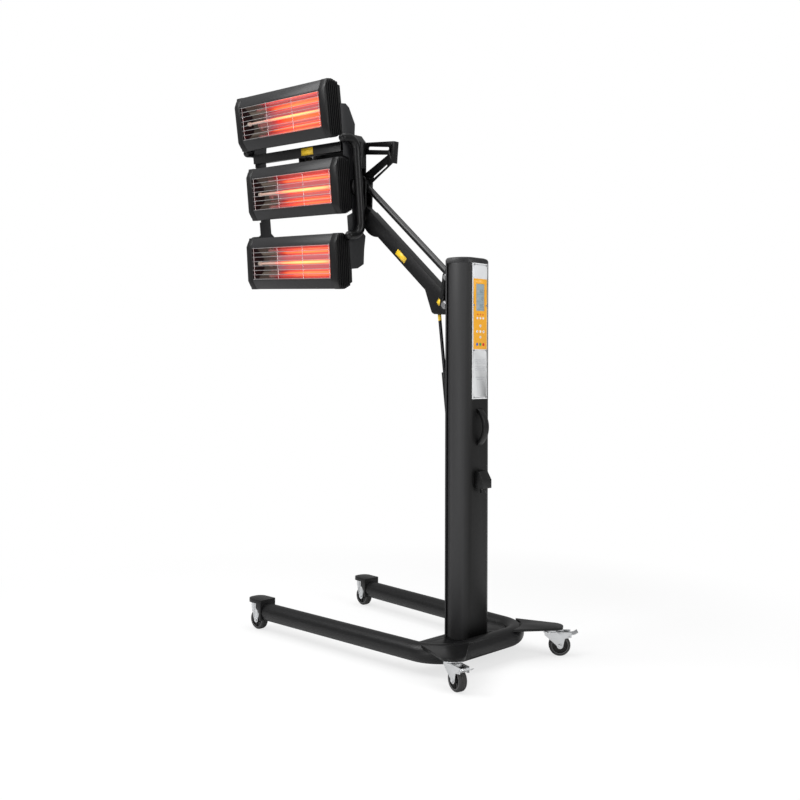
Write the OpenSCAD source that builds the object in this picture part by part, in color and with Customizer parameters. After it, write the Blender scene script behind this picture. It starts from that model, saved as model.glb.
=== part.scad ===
// Infrared curing lamp on a wheeled stand.
// Millimetres, +Z up. The modules are drawn from the floor under the column, on the base's plane of symmetry,
// and placed() then moves them so that the origin is on the floor under the middle of the whole lamp's box.
// The legs and the lifting arm point along -Y, the operator stands at +Y.

/* [Base] */
// Outer diameter of the leg tube
tube_d = 66; // [50:1:80]
// Wall of the leg tube
tube_wall = 3; // [2:0.5:5]
// Height of the leg tube's axis above the floor
tube_z = 72.5; // [65:0.5:90]
// Half the distance between the leg axes where they pass the column
leg_x = 227; // [200:1:260]
// Angle at which each leg spreads outwards
leg_splay = 3.15; // [0:0.05:6]
// Distance of the cross tube behind the origin
cross_y = 84; // [70:1:110]
// Bend radius of the tube's axis at the rear corners
bend_r = 115; // [100:1:125]
// Length of the leg in front of the origin, to the tube's cut end
leg_len = 776; // [600:1:900]
// Thickness of the base plate
base_t = 8; // [5:1:12]
// Height of the base plate's top face
base_top_z = 88; // [80:1:95]
// Front edge of the base plate in front of the origin
base_front = 58; // [45:1:80]

/* [Casters] */
// Diameter of all four wheels
wheel_d = 75; // [60:1:80]
// Width of the wheels
wheel_w = 28; // [20:1:30]
// Diameter of the wheel axles
axle_d = 8; // [6:1:12]
// Distance from the end of the leg tube to the front axle
front_axle_gap = 50; // [47:1:60]
// Height of the front bracket's top face
bracket_top_z = 120; // [115:1:135]
// Half the distance between the rear swivel axes
swivel_x = 256; // [240:1:280]
// Distance of the rear swivel axes behind the origin
swivel_y = 165; // [150:1:200]
// Trail of the rear casters
trail = 29; // [15:1:35]
// Heading of the left rear caster (at +X)
heading_left = 75; // [0:1:360]
// Heading of the right rear caster (at -X)
heading_right = 133; // [0:1:360]

/* [Column] */
// Width of the column across its front lips
col_w = 160; // [140:1:180]
// Width of the flat rear face
col_rear_w = 76; // [60:1:90]
// Distance of the column's front face in front of the origin
col_front = 32; // [25:1:40]
// Distance of the column's rear face behind the origin
col_rear = 52; // [45:1:60]
// Bulge of the column's sides
col_bulge = 13; // [4:1:18]
// Wall of the column's profile
col_wall = 3.5; // [2:0.5:6]
// Height of the column's top edge
col_top_z = 1361; // [1200:1:1500]
// Height of the column's cap
cap_h = 20; // [12:1:30]

/* [Lifting arm] */
// Distance of the arm's pivot in front of the origin
arm_pivot_y = 80; // [76:1:95]
// Height of the arm's pivot
arm_pivot_z = 1224; // [1150:1:1250]
// Distance between the arm's pivots
arm_len = 598.6; // [500:0.1:700]
// Rise of the arm above the horizontal
arm_rise = 40.5; // [20:0.5:45]
// Depth of the arm's tube
arm_depth = 50; // [40:1:60]
// Width of the arm's tube
arm_w = 38; // [36:1:50]
// Distance of the guide rod's pivots from the arm's
link_gap = 97; // [90:1:110]
// Lean of the line through both pivots towards the operator
lean = 3; // [0:0.5:6]
// Diameter of the guide rod
rod_d = 24; // [16:1:26]
// Distance of the gas strut's lower pivot in front of the origin
strut_y = 69; // [64:1:80]
// Height of the gas strut's lower pivot
strut_z = 670; // [600:1:700]
// Diameter of the gas strut's cylinder
strut_d = 22; // [20:1:28]

/* [Lamp head] */
// Distance of the head's turning axis in front of the origin
hub_y = 785; // [760:1:810]
// Height of the head's turning joint
hub_z = 1839; // [1820:1:1860]
// Turn of the head out of square
head_turn = 0.9; // [0:0.1:3]
// Downward tilt of the head
head_tilt = 7.9; // [4:0.1:12]
// Width of each cassette's window
window_w = 486; // [450:1:500]
// Height of each cassette's window
window_h = 129; // [110:1:140]
// Height of each cassette's housing
cassette_h = 208; // [190:1:215]
// Depth of each cassette's housing
cassette_depth = 84; // [78:1:88]
// Distance between the cassettes' centres
cassette_pitch = 279.5; // [265:0.5:290]
// Distance of the outer cassettes in front of the middle one
outer_forward = 28; // [20:1:32]
// Inward lean of the top and the bottom cassette
outer_lean = 2; // [0:0.5:4]
// How far the side plates' outer faces stand beyond the window, both sides together
plates_over = 58; // [54:1:74]

/* [Control panel] */
// Height of the panel's lower edge
panel_low_z = 900; // [850:1:950]
// Thickness of the panel's plate
panel_t = 3; // [2:0.5:5]

/* [Hidden] */

// From the middle of the lamp's box to the point under the column
origin_x = 12.1;
origin_y = 426.3;

// Shared clearances and the overrun of all cuts
run_gap = 0.06;
side_gap = 0.4;
seat_gap = 0.2;
weld_gap = seat_gap / 10;
over = 1;
$fn = 72;

// Base
tube_r = tube_d / 2;
bend_x = leg_x - (bend_r + (cross_y - bend_r) * sin(leg_splay)) / cos(leg_splay);
bend_v = (cross_y - bend_r + bend_r * sin(leg_splay)) * cos(leg_splay)
    - (bend_x + bend_r * cos(leg_splay) - leg_x) * sin(leg_splay);
fork_wall = 2.5;
wheel_gap = 2;
fork_in = wheel_w / 2 + wheel_gap;
fork_out = fork_in + fork_wall;
axle_r = axle_d / 2;
axle_z = wheel_d / 2;
nut_over = 3;
nut_r = axle_r + nut_over;
nut_h = 4;
spare_hole_x = 117;
spare_hole_y = 38;
spare_hole_r = 4.5;
foot_bolt_r = 5;
foot_head_r = 9;
foot_bolt_x = 56;
foot_bolt_y = 20;
foot_bolt_len = 24;

// Front brackets and forks, in the frame of their leg
bracket_t = 4;
bracket_w = 72;
bracket_lip = 14;
bracket_front_r = 30;
front_axle_y = leg_len + front_axle_gap;
bracket_nose = 36;
fork_plate_t = 4;
fork_plate_w = 52;
fork_tip_r = 11;
fork_rib = 2;

// Wheel section
hub_wall = 6;
tyre_h = 9;
web_in = 5;
wheel_step = 1;
tyre_round = 4;

// Rear casters, about their own swivel axis
rear_top_z = 96;
rear_plate_t = 3;
rear_plate_l = 78;
rear_plate_w = 58;
race_t = 7;
race_r = 24;
crown_t = 3;
crown_r = 25;
crown_top_z = rear_top_z - rear_plate_t - race_t - side_gap;
king_r = 6;
outrigger_t = 8;
outrigger_web = 5;
gusset_gap = 2;
outrigger_tip_r = 42;
outrigger_from = 20;
outrigger_gusset = 22;
gusset_h = 8;
pedal_pivot_x = 34;
pedal_pivot_z = 75;
pedal_r = 3;
pedal_w = 40;
pedal_t = 2.5;
pedal_cam = 7;
pedal_tread = 22;
pedal_rise = 9;
fork_arm_end = 6;

// Column
col_bottom_z = base_top_z;
lip_h = 6;
groove_h = 18;
groove_depth = 6;
side_in = 1;
arc_steps = 10;
cap_round = 9;
pocket_w = 52;
pocket_h = 190;

// Panel, measured from its lower edge
panel_w = 76;
panel_h = col_top_z - panel_low_z;
overlay_low = 169;
overlay_h = 239;
overlay_w = 68;
overlay_t = 0.8;
display_low = 299;
display_h = 92;
display_w = 42;
display_t = 1.2;
key_t = 0.7;
key_d = 9;
led_d = 5;
key_pitch = 19;
screw_d = 6;
screw_t = 1.6;
screw_in = 6;
screw_rows = [6, 165, 318, 455];
board_t = 1.6;
board_gap = 12;
board_w = 48;
board_h = 170;

// Rear fittings
handle_half = 64;
handle_out = 34;
handle_bar = 11;
handle_w = 24;
inlet_w = 46;
inlet_h = 57;
inlet_out = 36;
inlet_z = 627;
handle_over_inlet = 178;
handle_mid_z = inlet_z + handle_over_inlet;
gland_r = 12;
gland_h = 16;
gland_in = 2;

// Arm
p0 = [-arm_pivot_y, arm_pivot_z];
arm_dir = 180 - arm_rise;
p1 = p0 + arm_len * [cos(arm_dir), sin(arm_dir)];
link_vec = link_gap * [sin(lean), cos(lean)];
r0 = p0 + link_vec;
r1 = p1 + link_vec;
pin_r = 10;
rod_pin_r = 7;
arm_wall = 3;
arm_root_r = 32;
arm_tip_r = 26;
arm_tube_from = 62;
arm_tube_to = 56;
tongue_half = 12;
ear_t = 8;
collar_over = 5;
rod_collar_over = 4;
collar_t = 4;
eye_wall = 4;
bolt_head_r = 11;
tongue_drop = 4;
slot_room = 1;
rod_flat = 2;
neck_in = 4;
ear_in = arm_w / 2 + side_gap;
ear_out = ear_in + ear_t;
clevis_t = 8;
clevis_half = 52;
clevis_low = 58;
clevis_high = 42;
ear_r = 28;
rod_ear_r = 22;
rod_eye_r = 16;
rod_collar = 34;
strut_ear_u = 39;
strut_ear_v = 43;
strut_ear_r = 22;
bolt_r = 6;
strut_eye_r = 12;
strut_eye_half = 9;
s0 = [-strut_y, strut_z];
s1 = p0 + strut_ear_u * [cos(arm_dir), sin(arm_dir)] + strut_ear_v * [cos(arm_dir + 90), sin(arm_dir + 90)];
strut_len = norm(s1 - s0);
strut_dir = atan2(s1[1] - s0[1], s1[0] - s0[0]);
cyl_from = 22;
cyl_len = 300;
cyl_wall = 2;
cyl_cap = 14;
piston_r = strut_d / 2 - cyl_wall - side_gap;
piston_h = 20;
rod_r = 6;
rod_in = 80;
strut_ear_t = 7;
strut_play = 10;
anchor_t = 8;
anchor_half = 34;
anchor_h = 76;
sleeve_back = 94.6;
sleeve_at = arm_len - sleeve_back;
sleeve_half = 58;
sleeve_out = 20;
sleeve_w = 34;

// Carrier
cheek_half = arm_w / 2;
slot_half = tongue_half + side_gap;
carrier_low_r = 30;
carrier_rod_r = 28;
boom_root = 46;
hub_r = 24;
carrier_wall = 5;
hub_half = 26;
hub_pin_r = 9;
shoulder_y = 240;
shoulder_up = 30;
shoulder_rise = 2;
disc_in = 6;
disc_t = 6;
disc_over = 4;
knuckle_in = 2;
tail_w = 20;
tail_t = 4;
tail_in = 8;
tail_x = 10;
tail_top = 161;
tail_len = 160;
tail_drop = 20;
tail_end_h = 80;
tail_low_y = 30;
tail_low_z = 2;
tail_bar = 46;
tail_diag = 40;
tail_end = 34;
tail_slot = 12;
slot_taper = 0.1;

// Head
tilt_off = 61;
tilt_n = 112;
tilt_b = 128;
tilt_pin_r = 8;
knuckle_half = 14;
knuckle_r = 19;
bar_s = 36;
bar_n = 71;
bar_b = 143;
bar_wall = 2.5;
plate_t = 4;
plate_out = (window_w + plates_over) / 2;
plate_in = plate_out - plate_t;
plate_backs = [72, 88, 113, 100, 132, 120, 80];
plate_heights = [20, 6, 54, 130, 160, 193, 246, 34];
tongue_n = 45;
tongue_steps = [36, 30, 26, 38, 28, 42];
flange_lip = 5;
flange_back = 2;
flange_n = 14;
shoulder_n = 36;
back_share = 0.8;
window_n = 10;
inner_n = 34;
fold_room = 2;
cap_over = 1;
cap_in = 2;
rib_margin = 8;
rib_start = 2;
lamp_collar = 3;
front_cap_w = 33;
back_step = 64;
cap_back_w = plate_in - window_w / 2 - 2 * seat_gap;
plate_overlap = 12;
shell_t = 2.5;
cap_ribs = 6;
rib_gap = 4;
tube_off = 22;
handle_r = 17;
handle_bend = 42;
handle_n = 90;
handle_top_b = 172;
handle_low_b = -187;
handle_reach = 20;
knob_r = 36;
knob_share = 0.7;
knob_low = 8;
knob_t = 14;
lamp_r = 5;
lamp_n = 34;
lamp_end = 14;
reflector_t = 1;
trough_lip = 8;
trough_edge = 26;
trough_fold = 58;
trough_depth = 62;
trough_shift = 0.4;
wire_r = 1;
guard_rows = 8;
guard_cols = 4;
guard_n = 2;
guard_in = 10;

// Frames and outlines

module placed() {
    translate([origin_x, origin_y, 0]) children();
}

// Carries a drawing in the Y-Z plane to its place and gives it a width along X
module across(w, at = 0) {
    translate([at, 0, 0]) rotate([90, 0, 90]) linear_extrude(w, center = true) children();
}

module at2(p) {
    translate([p[0], p[1]]) children();
}

module leg_frame(side) {
    translate([side * leg_x, 0, 0]) rotate([0, 0, side * leg_splay]) children();
}

module swivel_frame(side, heading) {
    translate([side * swivel_x, swivel_y, 0]) rotate([0, 0, heading]) children();
}

module carrier_frame() {
    translate([0, -hub_y, hub_z]) rotate([-lean, 0, 0]) children();
}

module knuckle_frame() {
    carrier_frame() rotate([0, 0, head_turn]) children();
}

module head_frame() {
    knuckle_frame() translate([tilt_off, 0, 0]) rotate([0, head_tilt, 0])
        translate([tilt_n, 0, -tilt_b]) children();
}

// Where cassette k stands in the head: 1 top, 0 middle, -1 bottom
module cassette_frame(k) {
    translate([abs(k) * outer_forward, 0, k * cassette_pitch]) rotate([0, k * outer_lean, 0]) children();
}

// Outline of two discs and the straight sides that touch both
module link2d(p, rp, q, rq) {
    d = norm(q - p);
    a = atan2(q[1] - p[1], q[0] - p[0]);
    b = acos((rp - rq) / d);
    at2(p) circle(rp);
    at2(q) circle(rq);
    polygon([
        p + rp * [cos(a + b), sin(a + b)], p + rp * [cos(a - b), sin(a - b)],
        q + rq * [cos(a - b), sin(a - b)], q + rq * [cos(a + b), sin(a + b)]
    ]);
}

// A round bar across the machine at a point of the Y-Z plane
module pin_at(p, r, half) {
    translate([0, p[0], p[1]]) rotate([0, 90, 0]) cylinder(r = r, h = 2 * half, center = true);
}

// Points of an arc through two points, with a given bulge to the left of the way from one to the other
function bulge_arc(p, q, s, n) = let (
    c = norm(q - p),
    r = (c * c / 4 + s * s) / (2 * s),
    m = (p + q) / 2,
    u = (q - p) / c,
    side = [-u[1], u[0]],
    o = m - (r - s) * side,
    a = atan2(p[1] - o[1], p[0] - o[0]),
    h = asin(c / 2 / r)
) [for (i = [0:n]) o + r * [cos(a - 2 * h * i / n), sin(a - 2 * h * i / n)]];

// Right half of the column's outline from front to rear, drawn in by a wall
function right_side(t) = concat(
    [[col_w / 2 - t, -col_front + t], [col_w / 2 - t, -col_front + lip_h]],
    [[col_w / 2 - groove_depth - t, -col_front + lip_h],
    [col_w / 2 - groove_depth - t, -col_front + lip_h + groove_h]],
    [let (a = bulge_arc([col_rear_w / 2 - t, col_rear - t],
        [col_w / 2 - side_in - t, -col_front + lip_h + groove_h], col_bulge, arc_steps))
        for (i = [0:arc_steps]) a[arc_steps - i]]
);

function mirrored(pts) = [for (i = [len(pts) - 1:-1:0]) [-pts[i][0], pts[i][1]]];

module column2d(t) {
    polygon(concat(right_side(t), mirrored(right_side(t))));
}

// Base

// Runs the tube's round section, drawn by the child, along both legs, both bends and the cross tube.
// The five lengths stand a weld seam apart
module along_tube() {
    for (side = [-1, 1]) {
        leg_frame(side) translate([0, bend_v - weld_gap, tube_z]) rotate([90, 0, 0])
            linear_extrude(leg_len + bend_v - weld_gap) children();
        mirror([side < 0 ? 1 : 0, 0, 0]) translate([bend_x, cross_y - bend_r, tube_z])
            rotate([0, 0, leg_splay]) rotate_extrude(angle = 90 - leg_splay) translate([bend_r, 0])
                children();
    }
    translate([0, cross_y, tube_z]) rotate([90, 0, 90])
        linear_extrude(2 * bend_x - 2 * weld_gap, center = true) children();
}

module base_tube() {
    color("#141415") along_tube() difference() {
        circle(tube_r);
        circle(tube_r - tube_wall);
    }
}

// Half the tube's width at a height, with the seat's clearance
function tube_half(z) = sqrt(tube_r * tube_r - (z - tube_z) * (z - tube_z)) + seat_gap;

// Points round a rear bend, at a distance from the tube's axis, on the side of +X
function bend_arc(off, from, to) = [for (i = [0:arc_steps])
    let (a = from + (to - from) * i / arc_steps)
        [bend_x + (bend_r + off) * cos(a), cross_y - bend_r + (bend_r + off) * sin(a)]];

module base_plate() {
    in = tube_half(base_top_z - base_t);
    front = [leg_x - in + base_front * tan(leg_splay), -base_front];
    right = concat([front], bend_arc(-in, leg_splay, 90));
    color("#161617") translate([0, 0, base_top_z - base_t]) linear_extrude(base_t) difference() {
        polygon(concat(right, mirrored(right)));
        for (side = [-1, 1]) {
            translate([side * spare_hole_x, spare_hole_y]) circle(spare_hole_r);
            for (y = [-foot_bolt_y, foot_bolt_y]) translate([side * foot_bolt_x, y])
                circle(foot_bolt_r + seat_gap / 10);
        }
    }
}

// Screws from below through the base plate into the column's corner channels
module base_bolts() {
    color("#8a8a8a") for (side = [-1, 1], y = [-foot_bolt_y, foot_bolt_y])
        translate([side * foot_bolt_x, y, base_top_z - base_t]) {
            cylinder(r = foot_bolt_r, h = foot_bolt_len);
            translate([0, 0, -foot_bolt_r]) cylinder(r = foot_head_r, h = foot_bolt_r, $fn = 6);
        }
}

// Rear arm, drawn on the side of +X: a plate from the outside of the bend to the caster, on two gussets
module outrigger(side) {
    c = [swivel_x, swivel_y];
    out = tube_half(rear_top_z);
    root = [bend_x + bend_r * cos(45), cross_y - bend_r + bend_r * sin(45)];
    way = atan2(swivel_y - root[1], swivel_x - root[0]);
    reach = norm(c - root) - outrigger_tip_r / 2;
    color("#141415") mirror([side < 0 ? 1 : 0, 0, 0]) {
        translate([0, 0, rear_top_z]) linear_extrude(outrigger_t) {
            translate(c) circle(outrigger_tip_r);
            polygon(concat(bend_arc(out, outrigger_from, 90),
                [c + outrigger_tip_r * [cos(120), sin(120)], c + outrigger_tip_r * [cos(-10), sin(-10)]]));
        }
        for (v = [-1, 1]) translate([root[0], root[1], 0]) rotate([0, 0, way])
            translate([0, v * outrigger_gusset, 0]) rotate([90, 0, 0])
                linear_extrude(outrigger_web, center = true)
                polygon([
                    [tube_r + gusset_gap, rear_top_z], [tube_r + gusset_gap, rear_top_z - gusset_h],
                    [reach - race_r - outrigger_web, rear_top_z - outrigger_web],
                    [reach - race_r - outrigger_web, rear_top_z]
                ]);
    }
}

// The front bracket: a rounded cap over the fork, cheeks beside it and a plate on the tube's end
module bracket2d(t) {
    y0 = -front_axle_y - bracket_nose + t;
    hw = bracket_w / 2 - t;
    r = bracket_front_r - t;
    translate([-hw, y0 + r]) square([2 * hw, -leg_len - bracket_t - y0 - r]);
    translate([-hw + r, y0]) square([2 * (hw - r), 2 * r]);
    for (s = [-1, 1]) translate([s * (hw - r), y0 + r]) circle(r);
}

module front_bracket(side) {
    cheek = front_axle_gap / 2;
    color("#141415") leg_frame(side) {
        difference() {
            translate([0, 0, bracket_top_z - bracket_lip]) linear_extrude(bracket_lip) bracket2d(0);
            translate([0, 0, bracket_top_z - bracket_lip - over])
                linear_extrude(bracket_lip + over - bracket_t) bracket2d(bracket_t);
        }
        translate([-bracket_w / 2, -leg_len - bracket_t, tube_z - tube_r + bracket_t])
            cube([bracket_w, bracket_t, bracket_top_z - tube_z + tube_r - bracket_t]);
        for (s = [-1, 1]) difference() {
            translate([s > 0 ? bracket_w / 2 - bracket_t : -bracket_w / 2, -leg_len - bracket_t - cheek,
                tube_z - tube_r + bracket_t])
                cube([bracket_t, cheek, bracket_top_z - tube_z + tube_r - bracket_t - bracket_lip]);
            translate([0, -leg_len - bracket_t - cheek, tube_z - tube_r + bracket_t]) rotate([0, 90, 0])
                scale([2, 1, 1]) cylinder(r = cheek - bracket_t, h = bracket_w + 2 * over, center = true);
        }
    }
}

// Side of a fork in the Y-Z plane of its wheel, from the axle up to a top edge
module fork_side2d(top, w, shift = 0) {
    polygon([
        [-w / 2 + shift, top], [w / 2 + shift, top], [w / 2 + shift, top - w / 2],
        [fork_tip_r, axle_z], [-fork_tip_r, axle_z], [-w / 2 + shift, top - w / 2]
    ]);
    translate([0, axle_z]) circle(fork_tip_r);
}

module axle(half) {
    translate([0, 0, axle_z]) rotate([0, 90, 0])
        cylinder(r = axle_r, h = 2 * half + 2 * nut_h, center = true);
    for (s = [0, 1]) mirror([s, 0, 0]) translate([half, 0, axle_z]) rotate([0, 90, 0])
        cylinder(r = nut_r, h = nut_h, $fn = 6);
}

module front_fork(side) {
    top = bracket_top_z - bracket_t;
    color("#b9bbbd") leg_frame(side) translate([0, -front_axle_y, 0]) {
        translate([-fork_out, -fork_plate_w / 2, top - fork_plate_t])
            cube([2 * fork_out, fork_plate_w, fork_plate_t]);
        for (s = [-1, 1]) {
            across(fork_wall, s * (fork_in + fork_wall / 2)) fork_side2d(top - fork_plate_t, fork_plate_w);
            for (y = [-1, 1]) translate([s * (fork_out + fork_rib / 2), y * fork_plate_w / 5,
                (top + 2 * axle_z) / 3 + fork_tip_r])
                cube([fork_rib, 2 * fork_rib, top - axle_z - 2 * fork_plate_t - fork_tip_r], center = true);
        }
        axle(fork_out);
    }
}

// Wheel about its own axle, standing on the floor, with a dished rim on both sides
module wheel() {
    hub = axle_r + hub_wall;
    rim = wheel_d / 2 - tyre_h;
    web = wheel_w / 2 - web_in;
    translate([0, 0, axle_z]) rotate([0, 90, 0]) rotate_extrude() polygon([
        [axle_r + run_gap, -wheel_w / 2 - wheel_step], [hub, -wheel_w / 2 - wheel_step],
        [hub + 2 * wheel_step, -web],
        [rim - 2 * wheel_step, -web], [rim, -wheel_w / 2 + wheel_step], [rim + wheel_step, -wheel_w / 2],
        [wheel_d / 2 - tyre_round, -wheel_w / 2], [wheel_d / 2 - wheel_step, -wheel_w / 2 + tyre_round],
        [wheel_d / 2, -wheel_w / 4],
        [wheel_d / 2, wheel_w / 4], [wheel_d / 2 - wheel_step, wheel_w / 2 - tyre_round],
        [wheel_d / 2 - tyre_round, wheel_w / 2],
        [rim + wheel_step, wheel_w / 2], [rim, wheel_w / 2 - wheel_step], [rim - 2 * wheel_step, web],
        [hub + 2 * wheel_step, web], [hub, wheel_w / 2 + wheel_step],
        [axle_r + run_gap, wheel_w / 2 + wheel_step]
    ]);
}

module front_wheel(side) {
    color("#1c1c1d") leg_frame(side) translate([0, -front_axle_y, 0]) wheel();
}

// Rear casters. In the swivel frame the trail points along +X and the wheel's axle along Y
module caster_plate(side) {
    color("#b9bbbd") swivel_frame(side, side * 45) difference() {
        union() {
            translate([-rear_plate_l / 2, -rear_plate_w / 2, rear_top_z - rear_plate_t])
                cube([rear_plate_l, rear_plate_w, rear_plate_t]);
            translate([0, 0, rear_top_z - rear_plate_t - race_t]) cylinder(r = race_r, h = race_t);
        }
        translate([0, 0, rear_top_z - rear_plate_t - race_t - over])
            cylinder(r = king_r + run_gap, h = rear_plate_t + race_t + 2 * over);
    }
}

// Side of a rear fork: it slopes down to the axle and runs out over the wheel to carry the pedal
module rear_side2d() {
    top = crown_top_z;
    polygon([
        [-trail - crown_r + side_gap, top], [pedal_pivot_x + fork_arm_end, top],
        [pedal_pivot_x + fork_arm_end, pedal_pivot_z - fork_arm_end - pedal_r],
        [pedal_pivot_x / 2, pedal_pivot_z - fork_arm_end - 2 * pedal_r], [fork_tip_r, axle_z],
        [-fork_tip_r, axle_z], [-trail - crown_r + side_gap, top - fork_tip_r]
    ]);
    translate([0, axle_z]) circle(fork_tip_r);
}

module rear_fork(side, heading) {
    color("#b9bbbd") swivel_frame(side, heading) {
        translate([0, 0, crown_top_z - crown_t]) cylinder(r = crown_r, h = crown_t);
        translate([0, 0, crown_top_z - crown_t])
            cylinder(r = king_r, h = rear_top_z - side_gap - crown_top_z + crown_t);
        translate([trail, 0, 0]) rotate([0, 0, -90]) {
            for (s = [-1, 1]) across(fork_wall, s * (fork_in + fork_wall / 2)) difference() {
                rear_side2d();
                translate([pedal_pivot_x, pedal_pivot_z]) circle(pedal_r + run_gap);
            }
            axle(fork_out);
        }
    }
}

module rear_wheel(side, heading) {
    color("#1c1c1d") swivel_frame(side, heading) translate([trail, 0, 0]) rotate([0, 0, -90]) wheel();
}

// Brake pedal on a cross pin in the fork: a cam that faces the wheel and a tread that slopes up and out
module brake_pedal(side, heading) {
    c = [pedal_pivot_x, pedal_pivot_z];
    from = c + [fork_arm_end + side_gap, 0];
    color("#a9abad") swivel_frame(side, heading) translate([trail, 0, 0]) {
        translate([c[0], 0, c[1]]) rotate([90, 0, 0]) cylinder(r = pedal_r, h = 2 * fork_out, center = true);
        rotate([90, 0, 0]) linear_extrude(2 * fork_in - 2 * side_gap, center = true) {
            translate(c) circle(pedal_r + pedal_t);
            polygon([c + [-pedal_r, 0], c + [-2 * pedal_r, -pedal_cam], c + [0, -pedal_cam],
                c + [pedal_r, 0]]);
            translate(c) square([fork_arm_end + side_gap, pedal_t]);
        }
        rotate([90, 0, 0]) linear_extrude(pedal_w, center = true)
            polygon([
                from, from + [pedal_tread / 2, pedal_rise / 4], from + [pedal_tread, pedal_rise],
                from + [pedal_tread, pedal_rise + pedal_t],
                    from + [pedal_tread / 2, pedal_rise / 4 + pedal_t],
                from + [0, pedal_t]
            ]);
    }
}

// Column
module column() {
    color("#333436") difference() {
        translate([0, 0, col_bottom_z]) linear_extrude(col_top_z - col_bottom_z) column2d(0);
        translate([0, 0, col_bottom_z + base_t]) linear_extrude(col_top_z - col_bottom_z) column2d(col_wall);
        translate([0, col_rear - col_wall / 2, panel_low_z + overlay_low + overlay_h / 2])
            cube([pocket_w, 2 * col_wall, pocket_h], center = true);
        for (side = [-1, 1], y = [-foot_bolt_y, foot_bolt_y])
            translate([side * foot_bolt_x, y, col_bottom_z - over])
                cylinder(r = foot_bolt_r + seat_gap / 10, h = foot_bolt_len);
    }
}

module column_cap() {
    color("#29292b") hull() {
        translate([0, 0, col_top_z]) linear_extrude(cap_h - cap_round) column2d(0);
        translate([0, 0, col_top_z]) linear_extrude(cap_h - cap_round / 3) column2d(cap_round / 3);
        translate([0, 0, col_top_z]) linear_extrude(cap_h) column2d(cap_round);
    }
}

module clevis2d() {
    y0 = -col_front - clevis_t;
    at2(p0) circle(ear_r);
    at2(r0) circle(rod_ear_r);
    polygon([
        [y0, p0[1] - clevis_low + ear_t], p0 + ear_r * [cos(-120), sin(-120)], p0 - [ear_r, 0],
        r0 - [rod_ear_r, 0], r0 + rod_ear_r * [cos(60), sin(60)], [y0, r0[1] + clevis_high - ear_t]
    ]);
}

module arm_clevis() {
    color("#1b1b1c") difference() {
        union() {
            translate([-clevis_half, -col_front - clevis_t, p0[1] - clevis_low])
                cube([2 * clevis_half, clevis_t, r0[1] - p0[1] + clevis_low + clevis_high]);
            for (s = [-1, 1]) across(ear_t, s * (ear_in + ear_t / 2)) clevis2d();
        }
        pin_at(p0, pin_r + seat_gap / 10, ear_out + over);
        pin_at(r0, rod_pin_r + seat_gap / 10, ear_out + over);
    }
}

module clevis_pins() {
    color("#8f9193") {
        pin_at(p0, pin_r, ear_out);
        pin_at(r0, rod_pin_r, ear_out);
        for (s = [-1, 1]) {
            translate([s * (ear_out + ear_t / 4), 0, 0]) {
                pin_at(p0, pin_r + collar_over, ear_t / 4);
                pin_at(r0, rod_pin_r + rod_collar_over, ear_t / 4);
            }
            translate([s * (slot_half + ear_in - side_gap) / 2, 0, 0])
                pin_at(r0, rod_pin_r + rod_collar_over, (ear_in - side_gap - slot_half) / 2);
        }
    }
}

module strut_bracket() {
    in = strut_eye_half + side_gap;
    color("#1b1b1c") difference() {
        union() {
            translate([-anchor_half, -col_front - anchor_t, s0[1] - anchor_h / 2])
                cube([2 * anchor_half, anchor_t, anchor_h]);
            for (s = [-1, 1]) across(strut_ear_t, s * (in + strut_ear_t / 2)) {
                at2(s0) circle(strut_eye_r + eye_wall);
                polygon([
                    [-col_front - anchor_t, s0[1] - anchor_h / 3],
                    s0 + (strut_eye_r + eye_wall) * [cos(-120), sin(-120)],
                    s0 + (strut_eye_r + eye_wall) * [cos(120), sin(120)],
                        [-col_front - anchor_t, s0[1] + anchor_h / 3]
                ]);
            }
        }
        pin_at(s0, bolt_r + seat_gap / 10, anchor_half);
    }
}

module strut_bolt() {
    out = strut_eye_half + side_gap + strut_ear_t;
    color("#8f9193") {
        pin_at(s0, bolt_r, out + bolt_r);
        for (s = [-1, 1]) translate([s * (out + bolt_r / 2), 0, 0]) rotate([0, 0, 0])
            translate([0, s0[0], s0[1]]) rotate([0, 90, 0])
                cylinder(r = bolt_head_r, h = bolt_r, center = true, $fn = 6);
    }
}

// Control panel on the column's rear face. Heights are measured from the panel's lower edge
module on_panel(x, z, out = 0) {
    translate([x, col_rear + out, panel_low_z + z]) rotate([-90, 0, 0]) children();
}

module panel_plate() {
    color("#d9dadb") difference() {
        translate([-panel_w / 2, col_rear, panel_low_z]) cube([panel_w, panel_t, panel_h]);
        translate([-display_w / 2, col_rear + panel_t - display_t, panel_low_z + display_low])
            cube([display_w, panel_t, display_h]);
        for (z = screw_rows, s = [-1, 1]) on_panel(s * (panel_w / 2 - screw_in), z, -over)
            cylinder(r = screw_d / 4, h = panel_t + 2 * over);
    }
}

module panel_overlay() {
    color("#f0a81c") difference() {
        translate([-overlay_w / 2, col_rear + panel_t, panel_low_z + overlay_low])
            cube([overlay_w, overlay_t, overlay_h]);
        translate([-display_w / 2, col_rear + panel_t - over, panel_low_z + display_low])
            cube([display_w, overlay_t + 2 * over, display_h]);
        for (z = screw_rows, s = [-1, 1]) on_panel(s * (panel_w / 2 - screw_in), z, panel_t - over)
            cylinder(r = screw_d / 2 + seat_gap, h = overlay_t + 2 * over);
    }
}

module panel_display() {
    color("#8ea0a8") translate([-display_w / 2, col_rear + panel_t - display_t, panel_low_z + display_low])
        cube([display_w, display_t, display_h]);
}

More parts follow.
